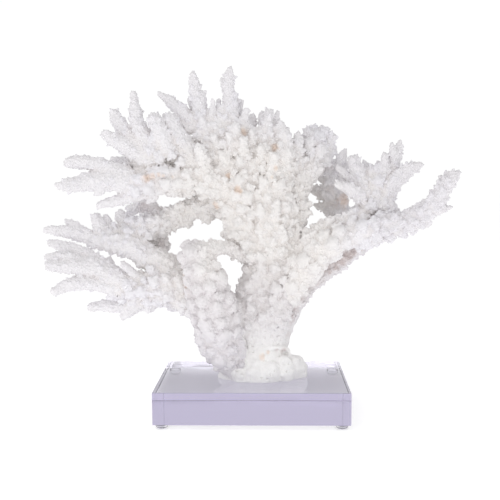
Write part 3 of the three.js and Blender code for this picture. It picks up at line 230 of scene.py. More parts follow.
    ("coral_crown", "bk_cr1", "nub", 2.5, 1, [(-0.8, -1.4, 203.3, 8.2), (-3.8, 14.6, 216.0, 5.8), (-5.7, 22.6, 229.7, 4.2), (-6.6, 25.6, 241.6, 3.0)]),
    ("coral_crown", "bk_cr2", "nub", 2.5, 1, [(18.8, 0.6, 203.2, 8.2), (17.0, 18.6, 214.4, 5.9), (16.1, 30.6, 226.7, 3.4)]),
    ("coral_crown", "bk_cr3", "nub", 2.5, 1, [(-10.6, -1.4, 197.6, 7.3), (-18.9, 14.6, 207.8, 5.4), (-24.5, 23.6, 219.0, 4.2), (-27.1, 26.6, 230.0, 3.0)]),
    ("coral_crown", "bk_cr4", "nub", 2.5, 1, [(33.5, 4.6, 200.8, 7.4), (35.5, 20.6, 209.4, 5.5), (36.6, 30.6, 219.8, 3.4)]),
    ("coral_upper_left_branch", "bk_ul1", "nub", 2.5, 1, [(-29.3, -3.4, 189.6, 7.3), (-33.3, 14.6, 196.2, 5.4), (-36.3, 30.6, 203.1, 3.9)]),
    ("coral_upper_left_branch", "bk_ul2", "nub", 2.5, 1, [(-49.5, -5.4, 191.3, 7.3), (-56.3, 10.6, 197.9, 5.4), (-62.4, 26.6, 204.0, 3.8)]),
    ("coral_upper_left_branch", "bk_ul3", "nub", 2.5, 1, [(-64.5, -13.4, 207.3, 6.4), (-69.9, 2.6, 213.4, 4.9), (-74.4, 16.6, 219.7, 3.4)]),
    ("coral_upper_left_branch", "bk_ul4", "nub", 2.5, 1, [(-76.8, -13.4, 188.2, 6.4), (-86.8, 2.6, 189.8, 4.9), (-95.6, 14.6, 193.1, 3.4)]),
    ("coral_lower_left_spray", "bk_ll1", "nub", 2.5, 1, [(-56.2, 6.6, 103.5, 8.4), (-64.4, 24.6, 108.8, 6.0), (-70.5, 38.6, 114.1, 4.0)]),
    ("coral_lower_left_spray", "bk_ll2", "nub", 2.5, 1, [(-72.5, 2.6, 99.9, 7.5), (-82.6, 18.6, 99.3, 5.6), (-91.8, 32.6, 99.9, 3.9)]),
    ("coral_lower_left_spray", "bk_ll3", "nub", 2.5, 1, [(-43.1, 0.6, 91.7, 8.3), (-46.6, 18.6, 95.8, 6.0), (-49.7, 32.6, 100.7, 3.9)]),
    ("coral_middle_left_branch", "bk_ml1", "nub", 2.5, 1, [(-51.9, 12.6, 162.8, 6.7), (-57.0, 26.6, 162.2, 5.2), (-62.8, 38.6, 160.8, 3.5)]),
    ("coral_middle_left_branch", "bk_ml2", "nub", 2.5, 1, [(-104.1, 18.6, 142.3, 6.8), (-109.9, 30.6, 143.1, 4.8), (-116.3, 40.6, 142.3, 3.3)]),
    ("coral_right_arm", "bk_ra1", "nub", 2.5, 1, [(68.4, -5.4, 129.8, 8.2), (73.8, 10.6, 134.1, 5.9), (80.1, 24.6, 137.1, 3.8)]),
    ("coral_right_arm", "bk_ra2", "nub", 2.5, 1, [(99.8, -13.4, 146.7, 6.4), (104.1, 0.6, 148.1, 4.9), (109.0, 12.6, 149.8, 3.3)]),
    ("coral_right_spray", "bk_rs1", "nub", 2.5, 1, [(107.3, 2.6, 177.6, 7.4), (109.1, 16.6, 183.9, 5.4), (110.7, 28.6, 190.6, 3.8)]),
    ("coral_right_spray", "bk_rs2", "nub", 2.5, 1, [(115.9, 0.6, 182.5, 6.5), (121.8, 12.6, 186.4, 4.6), (125.9, 22.6, 188.9, 3.2)]),
    ("coral_club_branch", "bk_cl1", "nub", 2.5, 1, [(48.8, 16.6, 202.5, 7.5), (52.9, 30.6, 206.1, 5.6), (56.0, 42.6, 209.9, 3.9)]),
]

# old rust-coloured stains, brown grime and painted shade: x, y, z, radius in mm, kind (0 rust; 1 brown grime, partly
# painted shade on the stem and back branches; 2 darker brown, mostly along the groove under the right arm, a brown
# stain darkened as painted shade; 3 painted shadow under the right arm)
STAINS = [
    # kind 3: painted shadow along the underside of the right arm
    (64.1, 1.6, 103.3, 2.2, 3),
    (69.1, 1.6, 107.4, 2.3, 3),
    (74.1, 2.6, 113.1, 2.8, 3),
    (79.0, 2.6, 117.7, 3.3, 3),
    (84.1, 3.6, 122.2, 3.6, 3),
    (89.0, 3.6, 126.8, 3.5, 3),
    (93.1, 3.6, 130.1, 3.0, 3),
    (98.0, 3.6, 133.4, 2.3, 3),
    # kind 1 along the stem behind the right arm: painted shade
    (37.6, -1.4, 63.5, 3.3, 1),
    (40.9, -0.4, 73.4, 3.7, 1),
    (45.1, 0.6, 83.3, 3.7, 1),
    (50.9, 1.6, 92.4, 3.7, 1),
    (-42.2, -21.4, 119.5, 3.2, 0),
    (-42.3, -21.4, 109.8, 3.7, 0),
    (-41.6, -21.4, 100.9, 2.9, 0),
    (-73.1, -31.4, 193.0, 3.4, 0),
    (-68.2, -32.4, 194.1, 2.6, 0),
    (-63.4, -33.4, 194.9, 2.2, 0),
    (-59.5, -33.4, 194.5, 1.7, 0),
    (-52.6, -32.4, 194.0, 1.7, 0),
    (-20.1, -21.4, 170.6, 3.2, 0),
    (-25.8, -19.4, 169.4, 2.1, 0),
    (-2.3, -29.4, 184.1, 2.7, 0),
    (2.3, -17.4, 228.9, 3.2, 0),
    (27.5, -19.4, 216.5, 2.8, 0),
    (28.2, -27.4, 200.3, 2.0, 0),
    (24.7, -31.4, 193.3, 2.0, 0),
    (21.6, -33.4, 186.4, 1.9, 0),
    (86.8, 26.6, 173.7, 5.1, 0),
    (-40.9, -40.4, 123.4, 2.6, 0),
    (-41.0, -40.4, 117.1, 3.3, 0),
    (-40.3, -40.4, 110.1, 3.1, 0),
    (-39.0, -39.4, 102.9, 2.3, 0),
    (16.9, -21.4, 48.7, 2.7, 0),
    (21.7, -19.4, 52.4, 1.9, 0),
    # kind 1 on the back fingers behind the middle left branch: painted shade
    (-67.2, 10.6, 137.7, 4.6, 1),
    (-70.7, 10.6, 131.0, 3.4, 1),
    (-82.7, 26.6, 168.3, 7.7, 1),
    (-72.7, 22.6, 163.3, 6.8, 1),
    (-73.7, -13.4, 228.8, 4.0, 1),
    (-69.8, -13.4, 222.4, 3.6, 1),
    (-22.2, -3.4, 255.4, 2.7, 1),
    (-2.5, -3.4, 255.3, 2.9, 1),
    (118.7, -13.4, 169.1, 3.6, 1),
    (124.0, -15.4, 165.2, 3.2, 1),
    (128.6, -21.4, 162.3, 3.2, 1),
    # kind 2: the groove under the right arm, a brown stain with painted shade
    (94.5, 1.6, 133.2, 5.8, 2),
    (86.5, 3.6, 127.6, 5.8, 2),
    (78.3, 3.6, 123.0, 5.8, 2),
    (70.7, 1.6, 117.9, 5.4, 2),
    (63.1, -0.4, 111.9, 5.0, 2),
    (55.7, -1.4, 103.7, 4.5, 2),
    (49.1, -2.4, 95.5, 4.1, 2),
    (44.1, -2.4, 87.2, 3.7, 2),
    (40.0, -2.4, 78.8, 3.3, 2),
    # kind 1 on the back branch: a brown stain with painted shade
    (67.1, 14.6, 197.4, 5.0, 1),
    (74.9, 28.6, 202.6, 6.0, 1),
    (64.8, 28.6, 177.1, 3.0, 1),
    (75.7, 36.6, 185.5, 3.9, 1),
    (80.6, 32.6, 170.1, 5.2, 1),
    (85.3, 26.6, 154.9, 6.0, 1),
    (34.7, -17.4, 53.2, 2.6, 2),
    (29.0, -21.4, 53.7, 1.8, 2),
    (21.7, -22.4, 53.5, 1.6, 1),
    (-13.9, -15.4, 200.7, 2.7, 1),
    (-8.8, -21.4, 194.3, 2.5, 0),
    (-4.7, -25.4, 188.8, 2.5, 1),
    (0.1, -29.4, 182.6, 2.3, 0),
    (10.0, -29.4, 126.8, 1.9, 1),
    (0.1, -17.4, 103.6, 2.0, 1),
    (-92.6, 6.6, 139.0, 2.5, 1),
    (-35.8, -7.4, 240.9, 3.2, 1),
    (-40.8, -5.4, 245.8, 2.4, 1),
    (11.5, 2.6, 238.9, 2.4, 1),
    (17.2, -5.4, 231.1, 2.0, 1),
]
# narrow gaps between branches: points x, z, then radius, and from which y to which y
SLITS = [
]

NODES = []
for l in LIMBS:
    if l[0] not in NODES:
        NODES.append(l[0])

rng = np.random.default_rng(SEED)


def smooth_path(pts, step):
    """Catmull-Rom through the control points, resampled about every step mm."""
    P = np.array(pts, float)
    if len(P) == 2:
        out = [P[0], P[1]]
        dense = np.array([P[0] * (1 - t) + P[1] * t for t in np.linspace(0, 1, 17)])
    else:
        Q = np.vstack([2 * P[0] - P[1], P, 2 * P[-1] - P[-2]])
        dense = []
        for i in range(1, len(Q) - 2):
            a, b, c, d = Q[i - 1], Q[i], Q[i + 1], Q[i + 2]
            for t in np.arange(12) / 12:
                q = 0.5 * (2 * b + (c - a) * t + (2 * a - 5 * b + 4 * c - d) * t * t + (3 * b - a - 3 * c + d) * t ** 3)
                q[3] = b[3] * (1 - t) + c[3] * t
                dense.append(q)
        dense.append(P[-1])
        dense = np.array(dense)
    s = np.r_[0, np.cumsum(np.linalg.norm(np.diff(dense[:, :3], axis=0), axis=1))]
    n = max(2, int(round(s[-1] / step)) + 1)
    u = np.linspace(0, s[-1], n)
    return np.stack([np.interp(u, s, dense[:, k]) for k in range(4)], -1), u


# ---------------------------------------------------------------- the grid
ends = []
for node, name, style, blend, tip, pts in LIMBS:
    p = np.array(pts)
    ends.append((p[:, :3] - p[:, 3:]).min(0))
    ends.append((p[:, :3] + p[:, 3:]).max(0))
ends = np.array(ends)
PAD = 5.0
LO = ends.min(0) - PAD
LO[2] = FOOT_Z - 4 * H
HI = ends.max(0) + PAD
DIM = np.ceil((HI - LO) / H).astype(int) + 1
FAR = 6.0
F = np.full(DIM, FAR, np.float32)        # blended body
D1 = np.full(DIM, FAR, np.float32)       # nearest piece's distance
D2 = np.full(DIM, FAR, np.float32)       # next nearest other piece's distance
L1 = np.full(DIM, -1, np.int8)
L2 = np.full(DIM, -1, np.int8)
LIM = np.full(DIM, -1, np.int16)         # nearest limb
SEG = np.full(DIM, -1, np.int16)         # nearest segment of a limb
seg_dir, seg_style, seg_rad, seg_node = [], [], [], []
print("grid", DIM, "%.1fM" % (DIM.prod() / 1e6))


def box_of(lo, hi):
    a = np.clip(np.floor((lo - LO) / H).astype(int), 0, DIM - 1)
    b = np.clip(np.ceil((hi - LO) / H).astype(int) + 1, 1, DIM)
    return a, b


def axes_of(a, b):
    return [(LO[k] + H * np.arange(a[k], b[k])).astype(np.float32) for k in range(3)]


def smin(a, b, k):
    h = np.maximum(k - np.abs(a - b), 0.0) / k
    return np.minimum(a, b) - h * h * k * 0.25


def fade_of(node, z):
    a, b = FADE.get(node, (0, 1))
    t = np.clip((z - a) / (b - a), 0, 1)
    return t * t * (3 - 2 * t)


limb_info = []
for li, (node, name, style, blend, tip, pts) in enumerate(LIMBS):
    gi = NODES.index(node)
    st = STYLE[style]
    pts = np.array(pts, float)
    path, arc = smooth_path(pts, 4.0 if style != "nub" else 3.0)
    grown = path.copy()
    sink = st["sink"][0] + (st["sink"][1] - st["sink"][0]) * np.clip((path[:, 3] - 3.5) / 6.5, 0, 1)
    sink = sink * (0.25 + 0.75 * fade_of(node, path[:, 2]))
    grown[:, 3] = np.maximum(path[:, 3] - sink, path[:, 3] * 0.45)
    R = grown[:, 3]
    margin = 5.0
    lo = (grown[:, :3] - R[:, None]).min(0) - margin
    hi = (grown[:, :3] + R[:, None]).max(0) + margin
    a, b = box_of(lo, hi)
    if (b <= a).any():
        limb_info.append(None)
        continue
    sl = tuple(slice(a[k], b[k]) for k in range(3))
    d = np.full(b - a, FAR, np.float32)
    sg = np.full(b - a, -1, np.int16)
    tip_first = tip == 0
    for i in range(len(grown) - 1):
        p, q = grown[i], grown[i + 1]
        la = np.minimum(p[:3] - p[3], q[:3] - q[3]) - margin
        ha = np.maximum(p[:3] + p[3], q[:3] + q[3]) + margin
        sa, sb = box_of(la, ha)
        sa = np.maximum(sa, a)
        sb = np.minimum(sb, b)
        if (sb <= sa).any():
            continue
        X, Y, Z = axes_of(sa, sb)
        X = X[:, None, None] - np.float32(p[0])
        Y = Y[None, :, None] - np.float32(p[1])
        Z = Z[None, None, :] - np.float32(p[2])
        v = q[:3] - p[:3]
        vv = float(v @ v) + 1e-9
        t = (X * np.float32(v[0]) + Y * np.float32(v[1]) + Z * np.float32(v[2])) / np.float32(vv)
        np.clip(t, 0, 1, out=t)
        dd = (X - t * np.float32(v[0])) ** 2 + (Y - t * np.float32(v[1])) ** 2 + (Z - t * np.float32(v[2])) ** 2
        dd = np.sqrt(dd) - (np.float32(p[3]) + t * np.float32(q[3] - p[3]))
        s2 = tuple(slice(sa[k] - a[k], sb[k] - a[k]) for k in range(3))
        better = dd < d[s2]
        d[s2][better] = dd[better]
        sg[s2][better] = len(seg_dir)
        v = v / (np.linalg.norm(v) + 1e-9)
        seg_dir.append(-v if tip_first else v)
        seg_style.append(style)
        seg_rad.append((path[i, 3] + path[i + 1, 3]) / 2)
        seg_node.append(gi)
    # nearest piece and next nearest other piece
    d1, d2, l1, l2 = D1[sl], D2[sl], L1[sl], L2[sl]
    lm = LIM[sl]
    best = d < d1
    lm[best] = li
    SEG[sl][best] = sg[best]
    own = l1 == gi
    m = best & ~own
    d2[m] = d1[m]
    l2[m] = l1[m]
    l1[m] = gi
    d1[best] = d[best]
    m = ~best & ~own & (d < d2)
    d2[m] = d[m]
    l2[m] = gi
    F[sl] = smin(F[sl], d, np.float32(blend))
    limb_info.append((gi, style, path, grown, arc))
print("limbs %.1fs" % (time.time() - T0))


# ---------------------------------------------------------------- slow noise in the body
def noise_grid(cell, seed, shape=None):
    r = np.random.default_rng(seed)
    n = np.ceil(DIM * H / cell).astype(int) + 3
    g = r.normal(size=n).astype(np.float32)
    return g, cell


def sample_noise(ng, P):
    g, cell = ng
    u = (P - LO) / cell + 0.5
    i = np.floor(u).astype(int)
    f = u - i
    f = f * f * (3 - 2 * f)
    i = np.clip(i, 0, np.array(g.shape) - 2)
    out = 0
    for dx in (0, 1):
        for dy in (0, 1):
            for dz in (0, 1):
                w = (f[:, 0] if dx else 1 - f[:, 0]) * (f[:, 1] if dy else 1 - f[:, 1]) * (f[:, 2] if dz else 1 - f[:, 2])
                out = out + w * g[i[:, 0] + dx, i[:, 1] + dy, i[:, 2] + dz]
    return out


def add_noise(field, cell, amount, seed):
    """Adds smooth lattice noise to the whole field."""
    g, c = noise_grid(cell, seed)
    ax = []
    for k in range(3):
        u = (np.arange(DIM[k]) * H) / c + 0.5
        i = np.floor(u).astype(int)
        f = (u - i).astype(np.float32)
        f = f * f * (3 - 2 * f)
        ax.append((i, f))
    (ix, fx), (iy, fy), (iz, fz) = ax
    for s in range(0, DIM[0], 48):
        e = min(s + 48, DIM[0])
        i, f = ix[s:e], fx[s:e][:, None, None]
        gx = g[i] * (1 - f) + g[i + 1] * f
        f = fy[None, :, None]
        gy = gx[:, iy] * (1 - f) + gx[:, iy + 1] * f
        f = fz[None, None, :]
        gz = gy[:, :, iz] * (1 - f) + gy[:, :, iz + 1] * f
        field[s:e] += np.float32(amount) * gz


def sample(field, P):
    """Trilinear value of a grid at points in mm."""
    u = (P - LO) / H
    u = np.clip(u, 0, np.array(DIM) - 1.001)
    i = u.astype(int)
    f = (u - i).astype(np.float32)
    out = np.zeros(len(P), np.float32)
    for dx in (0, 1):
        for dy in (0, 1):
            for dz in (0, 1):
                w = (f[:, 0] if dx else 1 - f[:, 0]) * (f[:, 1] if dy else 1 - f[:, 1]) * (f[:, 2] if dz else 1 - f[:, 2])
                out += w * field[i[:, 0] + dx, i[:, 1] + dy, i[:, 2] + dz]
    return out


def nearest(field, P):
    i = np.clip(np.round((P - LO) / H).astype(int), 0, DIM - 1)
    return field[i[:, 0], i[:, 1], i[:, 2]]


add_noise(F, 9.0, 0.45, SEED + 1)
add_noise(F, 4.0, 0.22, SEED + 2)
print("noise %.1fs" % (time.time() - T0))

# ---------------------------------------------------------------- knobs and corallites
seg_dir = np.array(seg_dir)
seg_style = np.array(seg_style)


def surface(field):
    """Points on the field's zero surface, with outward normals."""
    g = vdb.FloatGrid(2.0)
    f = np.clip(field, -2.0, 2.0)
    g.copyFromArray(f, tolerance=0.0)
    pts, tri, quad = g.convertToPolygons(isovalue=0.0, adaptivity=0.0)
    P = pts.astype(np.float64) * H + LO
    n = np.empty_like(P)
    for k in range(3):
        e = np.zeros(3)
        e[k] = H * 0.9
        n[:, k] = sample(field, P + e) - sample(field, P - e)
    n /= np.linalg.norm(n, axis=1)[:, None] + 1e-9
    return P, n


def spread_out(P, spacing, seed, rounds=7):
    """Indices of a thinned set of the points: no two nearer than the spacing, and no wide gaps left."""
    r = np.random.default_rng(seed)
    cell = spacing * 0.577
    ij = np.floor((P - P.min(0)) / cell).astype(np.int64) + 3
    size = ij.max(0) + 4
    key = (ij * np.array([size[1] * size[2], size[2], 1])).sum(1)
    offs = [dx * size[1] * size[2] + dy * size[2] + dz
            for dx in range(-2, 3) for dy in range(-2, 3) for dz in range(-2, 3)]
    P4 = P.astype(np.float32)
    free = np.ones(len(P), bool)
    chosen = []
    for _ in range(rounds):
        idx = np.where(free)[0]
        if not len(idx):
            break
        prio = r.random(len(idx)).astype(np.float32)
        order = np.lexsort((prio, key[idx]))
        k = key[idx][order]
        first = np.r_[True, k[1:] != k[:-1]]
        cand = idx[order][first]
        cp = prio[order][first]
        table = np.full(int(size.prod()), -1, np.int32)
        table[key[cand]] = np.arange(len(cand), dtype=np.int32)
        lose = np.zeros(len(cand), bool)
        for o in offs:
            if o == 0:
                continue
            t = table[key[cand] + o]
            m = np.where(t >= 0)[0]
            t = t[m]
            near = ((P4[cand[t]] - P4[cand[m]]) ** 2).sum(1) < spacing ** 2
            lose[m] |= near & (cp[t] < cp[m])
        win = cand[~lose]
        chosen.append(win)
        table[:] = -1
        table[key[win]] = np.arange(len(win), dtype=np.int32)
        kf = key[idx]
        covered = np.zeros(len(idx), bool)
        for o in offs:
            t = table[kf + o]
            m = np.where(t >= 0)[0]
            t = t[m]
            covered[m] |= ((P4[win[t]] - P4[idx[m]]) ** 2).sum(1) < spacing ** 2
        free[idx[covered]] = False
    return np.concatenate(chosen)


stride = np.array([DIM[1] * DIM[2], DIM[2], 1])


def stamp(target, A, B, ra, rb, ids=None):
    """Adds round cones A-B to a grid by least distance; ids also records which cone is least."""
    flat_t = target.reshape(-1)
    if len(A) == 0:
        return
    mid = (A + B) / 2
    half = (np.linalg.norm(B - A, axis=1) / 2 + np.maximum(ra, rb)).max() + 1.1
    K = int(math.ceil(half / H))
    off = np.stack(np.meshgrid(*[np.arange(-K, K + 1)] * 3, indexing="ij"), -1).reshape(-1, 3)
    off = off[(np.linalg.norm(off, axis=1) <= K + 0.5)]
    batch = max(1, int(2.5e6 / len(off)))
    for s in range(0, len(A), batch):
        e = min(s + batch, len(A))
        base = np.round((mid[s:e] - LO) / H).astype(np.int64)
        idx = base[:, None, :] + off[None]
        ok = ((idx >= 0) & (idx < DIM)).all(-1)
        pos = (LO + idx * H).astype(np.float32)
        a_ = A[s:e, None, :].astype(np.float32)
        v = (B - A)[s:e, None, :].astype(np.float32)
        w = pos - a_
        vv = (v * v).sum(-1) + 1e-6
        t = np.clip((w * v).sum(-1) / vv, 0, 1)
        dist = np.sqrt(((w - t[..., None] * v) ** 2).sum(-1))
        dist -= ra[s:e, None].astype(np.float32) * (1 - t) + rb[s:e, None].astype(np.float32) * t
        flat = (idx * stride).sum(-1)
        flat = flat[ok]
        dist = dist[ok].astype(np.float32)
        if ids is None:
            np.minimum.at(flat_t, flat, dist)
        else:
            who = np.broadcast_to(np.arange(s, e)[:, None], ok.shape)[ok]
            key = (np.round((dist + 8) * 2000).astype(np.int64) << 20) | who
            np.minimum.at(ids.reshape(-1), flat, key)


def lean_axis(n, tip, deg):
    """Turns the normals towards the tip direction by deg degrees."""
    t = tip - (tip * n).sum(1)[:, None] * n
    ln = np.linalg.norm(t, axis=1)
    ok = ln > 0.15
    t = np.where(ok[:, None], t / (ln[:, None] + 1e-9), 0)
    a_ = np.radians(deg)[:, None] * np.clip(ln, 0, 1)[:, None]
    ax = n * np.cos(a_) + t * np.sin(a_)
    return ax / np.linalg.norm(ax, axis=1)[:, None]


seg_rad = np.array(seg_rad)
seg_node = np.array(seg_node)


def tips_of(seg):
    d = seg_dir[np.maximum(seg, 0)]
    return np.where((seg >= 0)[:, None], d, 0.0)


def situate(P):
    """Style, limb radius and fade at surface points."""
    seg = nearest(SEG, P)
    ok = seg >= 0
    i = np.maximum(seg, 0)
    sty = np.where(ok, seg_style[i], "smooth")
    rad = np.where(ok, seg_rad[i], 3.0)
    fade = np.ones(len(P))
    for gi, node in enumerate(NODES):
        if node in FADE:
            m = ok & (seg_node[i] == gi)
            fade[m] = fade_of(node, P[m, 2])
    return seg, sty, rad, fade


def grow(body, level, axis_of, seed):
    """Cones of one level over the surface of body: their ends, radii and axes."""
    P, n = surface(body)
    seg, sty, rad, fade = situate(P)
    tip_all = axis_of(P, seg)
    A, B, ra, rb, dirs = [], [], [], [], []
    for name, st in STYLE.items():
        if st[level] is None:
            continue
        spacing, r0, r1, height, lean, spread, share = st[level]
        m = np.where((sty == name) & (P[:, 2] > FOOT_Z + 4) & (fade > 0.04))[0]
        if level == "stub":
            m = m[rad[m] > 5.6]
        if not len(m):
            continue
        pick = m[spread_out(P[m], spacing, seed)]
        keep = share * np.clip(fade[pick] * 1.6, 0, 1)
        if level == "stub":
            keep = keep * np.clip((rad[pick] - 5.4) / 1.6, 0, 1)
        pick = pick[rng.random(len(pick)) < keep]
        q = len(pick)
        sc = (1 + spread * rng.uniform(-1, 1, q)) * (0.45 + 0.55 * fade[pick])
        if level == "stub":
            sc = sc * np.clip(rad[pick] / 10.0, 0.68, 1.12)
        else:
            sc = sc * np.clip(rad[pick] / 5.5, 0.62, 1.0)
        ax = lean_axis(n[pick], tip_all[pick], np.full(q, float(lean)) + rng.normal(0, 9, q))
        ax = ax + rng.normal(0, 0.14, (q, 3))
        ax /= np.linalg.norm(ax, axis=1)[:, None]
        hh = height * sc * (1 + 0.25 * rng.uniform(-1, 1, q))
        A.append(P[pick] - n[pick] * r0 * sc[:, None] * 0.8)
        B.append(P[pick] + ax * (hh - r1 * sc * 0.7)[:, None])
        ra.append(r0 * sc)
        rb.append(r1 * sc)
        dirs.append(ax)
    A, B, ra, rb, dirs = map(np.concatenate, (A, B, ra, rb, dirs))
    keys = np.full(DIM, (int(16 * 2000) << 20), np.int64)
    stamp(keys, A, B, ra, rb, ids=keys)
    dist = (keys >> 20).astype(np.float32) / 2000 - 8
    who = (keys & 0xFFFFF).astype(np.int32)
    del keys
    print(level, len(A), "%.1fs" % (time.time() - T0))
    return dist, who, dirs


dist, who, dirs_a = grow(F, "stub", lambda P, seg: tips_of(seg), SEED + 11)
on_a = dist < F
who_a = who
body = smin(F, dist, np.float32(2.8))
add_noise(body, 3.0, 0.18, SEED + 4)


def axis_a(P, seg):
    on = nearest(on_a, P)
    w = np.clip(nearest(who_a, P), 0, len(dirs_a) - 1)
    return np.where(on[:, None], dirs_a[w] + 0.4 * tips_of(seg), tips_of(seg))


dist, who_b, dirs_b = grow(body, "knob", axis_a, SEED + 12)
on_b = dist < body
body = smin(body, dist, np.float32(1.6))

# narrow gaps between branches
for poly, r, y0, y1 in SLITS:
    q = np.array(poly)
    lo = np.array([q[:, 0].min() - r - 3, y0, q[:, 1].min() - r - 3])
    hi = np.array([q[:, 0].max() + r + 3, y1, q[:, 1].max() + r + 3])
    a, b = box_of(lo, hi)
    X, Y, Z = axes_of(a, b)
    best = np.full((len(X), len(Z)), 99.0, np.float32)
    for p, e in zip(q[:-1], q[1:]):
        v = e - p
        t = np.clip(((X[:, None] - p[0]) * v[0] + (Z[None, :] - p[1]) * v[1]) / (v @ v + 1e-9), 0, 1)
        best = np.minimum(best, np.hypot(X[:, None] - p[0] - t * v[0], Z[None, :] - p[1] - t * v[1]))
    cut = (np.float32(r) - best)[:, None, :]
    cut = cut - np.clip(Y - (y1 - 2.0), 0, 9)[None, :, None]
    sl = tuple(slice(a[k], b[k]) for k in range(3))
    body[sl] = -smin(-body[sl], -cut, np.float32(0.8))

# weathering: the edges are a little rounded
for k in range(3):
    f = np.moveaxis(body, k, 0)
    g = f.copy()
    g[1:-1] = (f[:-2] + 6 * f[1:-1] + f[2:]) / 8
    body = np.moveaxis(g, 0, k)
body = np.ascontiguousarray(body)
del f, g

P, n = surface(body)
seg, sty, rad, fade = situate(P)
on = nearest(on_b, P)
w = np.clip(nearest(who_b, P), 0, len(dirs_b) - 1)
tipdir = np.where(on[:, None], dirs_b[w], axis_a(P, seg))
N = np.full(DIM, 3.0, np.float32)
count = 0
for name, st in STYLE.items():
    if st["cor"] is None:
        continue
    spacing, r0, height, lean = st["cor"]
    m = np.where((sty == name) & (P[:, 2] > FOOT_Z + 2) & (fade > 0.02))[0]
    if not len(m):
        continue
    pick = m[spread_out(P[m], spacing, SEED + 21)]
    pick = pick[rng.random(len(pick)) < np.clip(fade[pick] * 2.5, 0.15, 1)]
    q = len(pick)
    sc = (1 + 0.2 * rng.uniform(-1, 1, q)) * np.clip(0.35 + rad[pick] / 6.0, 0.75, 1.0)
    ax = lean_axis(n[pick], tipdir[pick], np.full(q, float(lean)) + rng.normal(0, 8, q))
    hh = height * sc * np.clip(0.4 + fade[pick], 0, 1)
    stamp(N, P[pick] - n[pick] * 0.5, P[pick] + ax * (hh - r0 * 0.5)[:, None], r0 * sc, r0 * 0.8 * sc)
    count += q
# pores in the bare lower trunk and foot
m = np.where((P[:, 2] > FOOT_Z + 3) & (P[:, 2] < 96) & ((fade < 0.85) | (sty == "waxy")))[0]
pick = m[spread_out(P[m], 4.2, SEED + 31)]
pick = pick[rng.random(len(pick)) < 0.5]
pr = rng.uniform(0.55, 1.15, len(pick))
pores = np.full(DIM, 3.0, np.float32)
stamp(pores, P[pick] + n[pick] * 0.5, P[pick] - n[pick] * 1.1, pr, pr * 0.8)
print("corallites", count, "%.1fs" % (time.time() - T0))
body = smin(body, N, np.float32(0.6))
body = -smin(-body, pores, np.float32(0.3))
del pores
add_noise(body, 1.7, 0.05, SEED + 3)
del N, dist

# ---------------------------------------------------------------- openness, for colour
q = 4
small = (body[: DIM[0] // q * q, : DIM[1] // q * q, : DIM[2] // q * q] < 0).reshape(
    DIM[0] // q, q, DIM[1] // q, q, DIM[2] // q, q).mean((1, 3, 5), dtype=np.float32)


def blur(a, sigma):
    n = int(math.ceil(sigma * 2.5))
    k = np.exp(-0.5 * (np.arange(-n, n + 1) / sigma) ** 2)
    k = (k / k.sum()).astype(np.float32)
    for ax in range(3):
        pad = [(0, 0)] * 3
        pad[ax] = (n, n)
        p_ = np.pad(a, pad)
        out = np.zeros_like(a)
        for i, w in enumerate(k):
            sl_ = [slice(None)] * 3
            sl_[ax] = slice(i, i + a.shape[ax])
            out += w * p_[tuple(sl_)]
        a = out
    return a


occ_wide = blur(small, 9.0 / (q * H))
occ_near = blur(small, 3.6 / (q * H))


def sample_small(g, P):
    u = (P - LO) / (H * q) - 0.5 + 0.5 / q
    u = np.clip(u, 0, np.array(g.shape) - 1.001)
    i = u.astype(int)
    f = (u - i).astype(np.float32)
    out = np.zeros(len(P), np.float32)
    for dx in (0, 1):
        for dy in (0, 1):
            for dz in (0, 1):
                w = (f[:, 0] if dx else 1 - f[:, 0]) * (f[:, 1] if dy else 1 - f[:, 1]) * (f[:, 2] if dz else 1 - f[:, 2])
                out += w * g[i[:, 0] + dx, i[:, 1] + dy, i[:, 2] + dz]
    return out


print("openness %.1fs" % (time.time() - T0))

# ---------------------------------------------------------------- piece meshes
cut_z = None


def mesh_piece(gi, name):
    own = L1 == gi
    any_x = np.where((own & (body < 1.5)).any((1, 2)))[0]
    any_y = np.where((own & (body < 1.5)).any((0, 2)))[0]
    any_z = np.where((own & (body < 1.5)).any((0, 1)))[0]
    a = np.maximum(np.array([any_x[0], any_y[0], any_z[0]]) - 4, 0)
    b = np.minimum(np.array([any_x[-1], any_y[-1], any_z[-1]]) + 5, DIM)
    sl = tuple(slice(a[k], b[k]) for k in range(3))
    l1, l2 = L1[sl], L2[sl]
    side = np.full(l1.shape, 3.0, np.float32)
    m = l1 == gi
    side[m] = (D1[sl][m] - D2[sl][m]) * 0.7
    m = l2 == gi
    side[m] = (D2[sl][m] - D1[sl][m]) * 0.7
    # past the fork the piece dips a little under its neighbour, so no gap shows
    f = np.maximum(body[sl] + np.clip(side + 0.1, 0, 1) * np.float32(0.5), side - np.float32(1.0))
    z = (LO[2] + H * np.arange(a[2], b[2])).astype(np.float32)
    f = np.maximum(f, (FOOT_Z - z)[None, None, :])
    f = np.pad(f, 1, constant_values=3.0)
    f = np.clip(f, -2.0, 2.0).astype(np.float32)
    g = vdb.FloatGrid(2.0)
    g.copyFromArray(np.ascontiguousarray(f), tolerance=0.0)
    pts, tri, quad = g.convertToPolygons(isovalue=0.0, adaptivity=0.0)
    pts = pts.astype(np.float64) * H + LO + (a - 1) * H
    return pts, quad


def bodies(n, quad):
    lab = np.arange(n)
    e0 = quad[:, [0, 1, 2, 3]].reshape(-1)
    e1 = quad[:, [1, 2, 3, 0]].reshape(-1)
    for _ in range(400):
        m = np.minimum(lab[e0], lab[e1])
        new = lab.copy()
        np.minimum.at(new, e0, m)
        np.minimum.at(new, e1, m)
        new = new[new]
        new = new[new]
        if (new == lab).all():
            break
        lab = new
    return lab


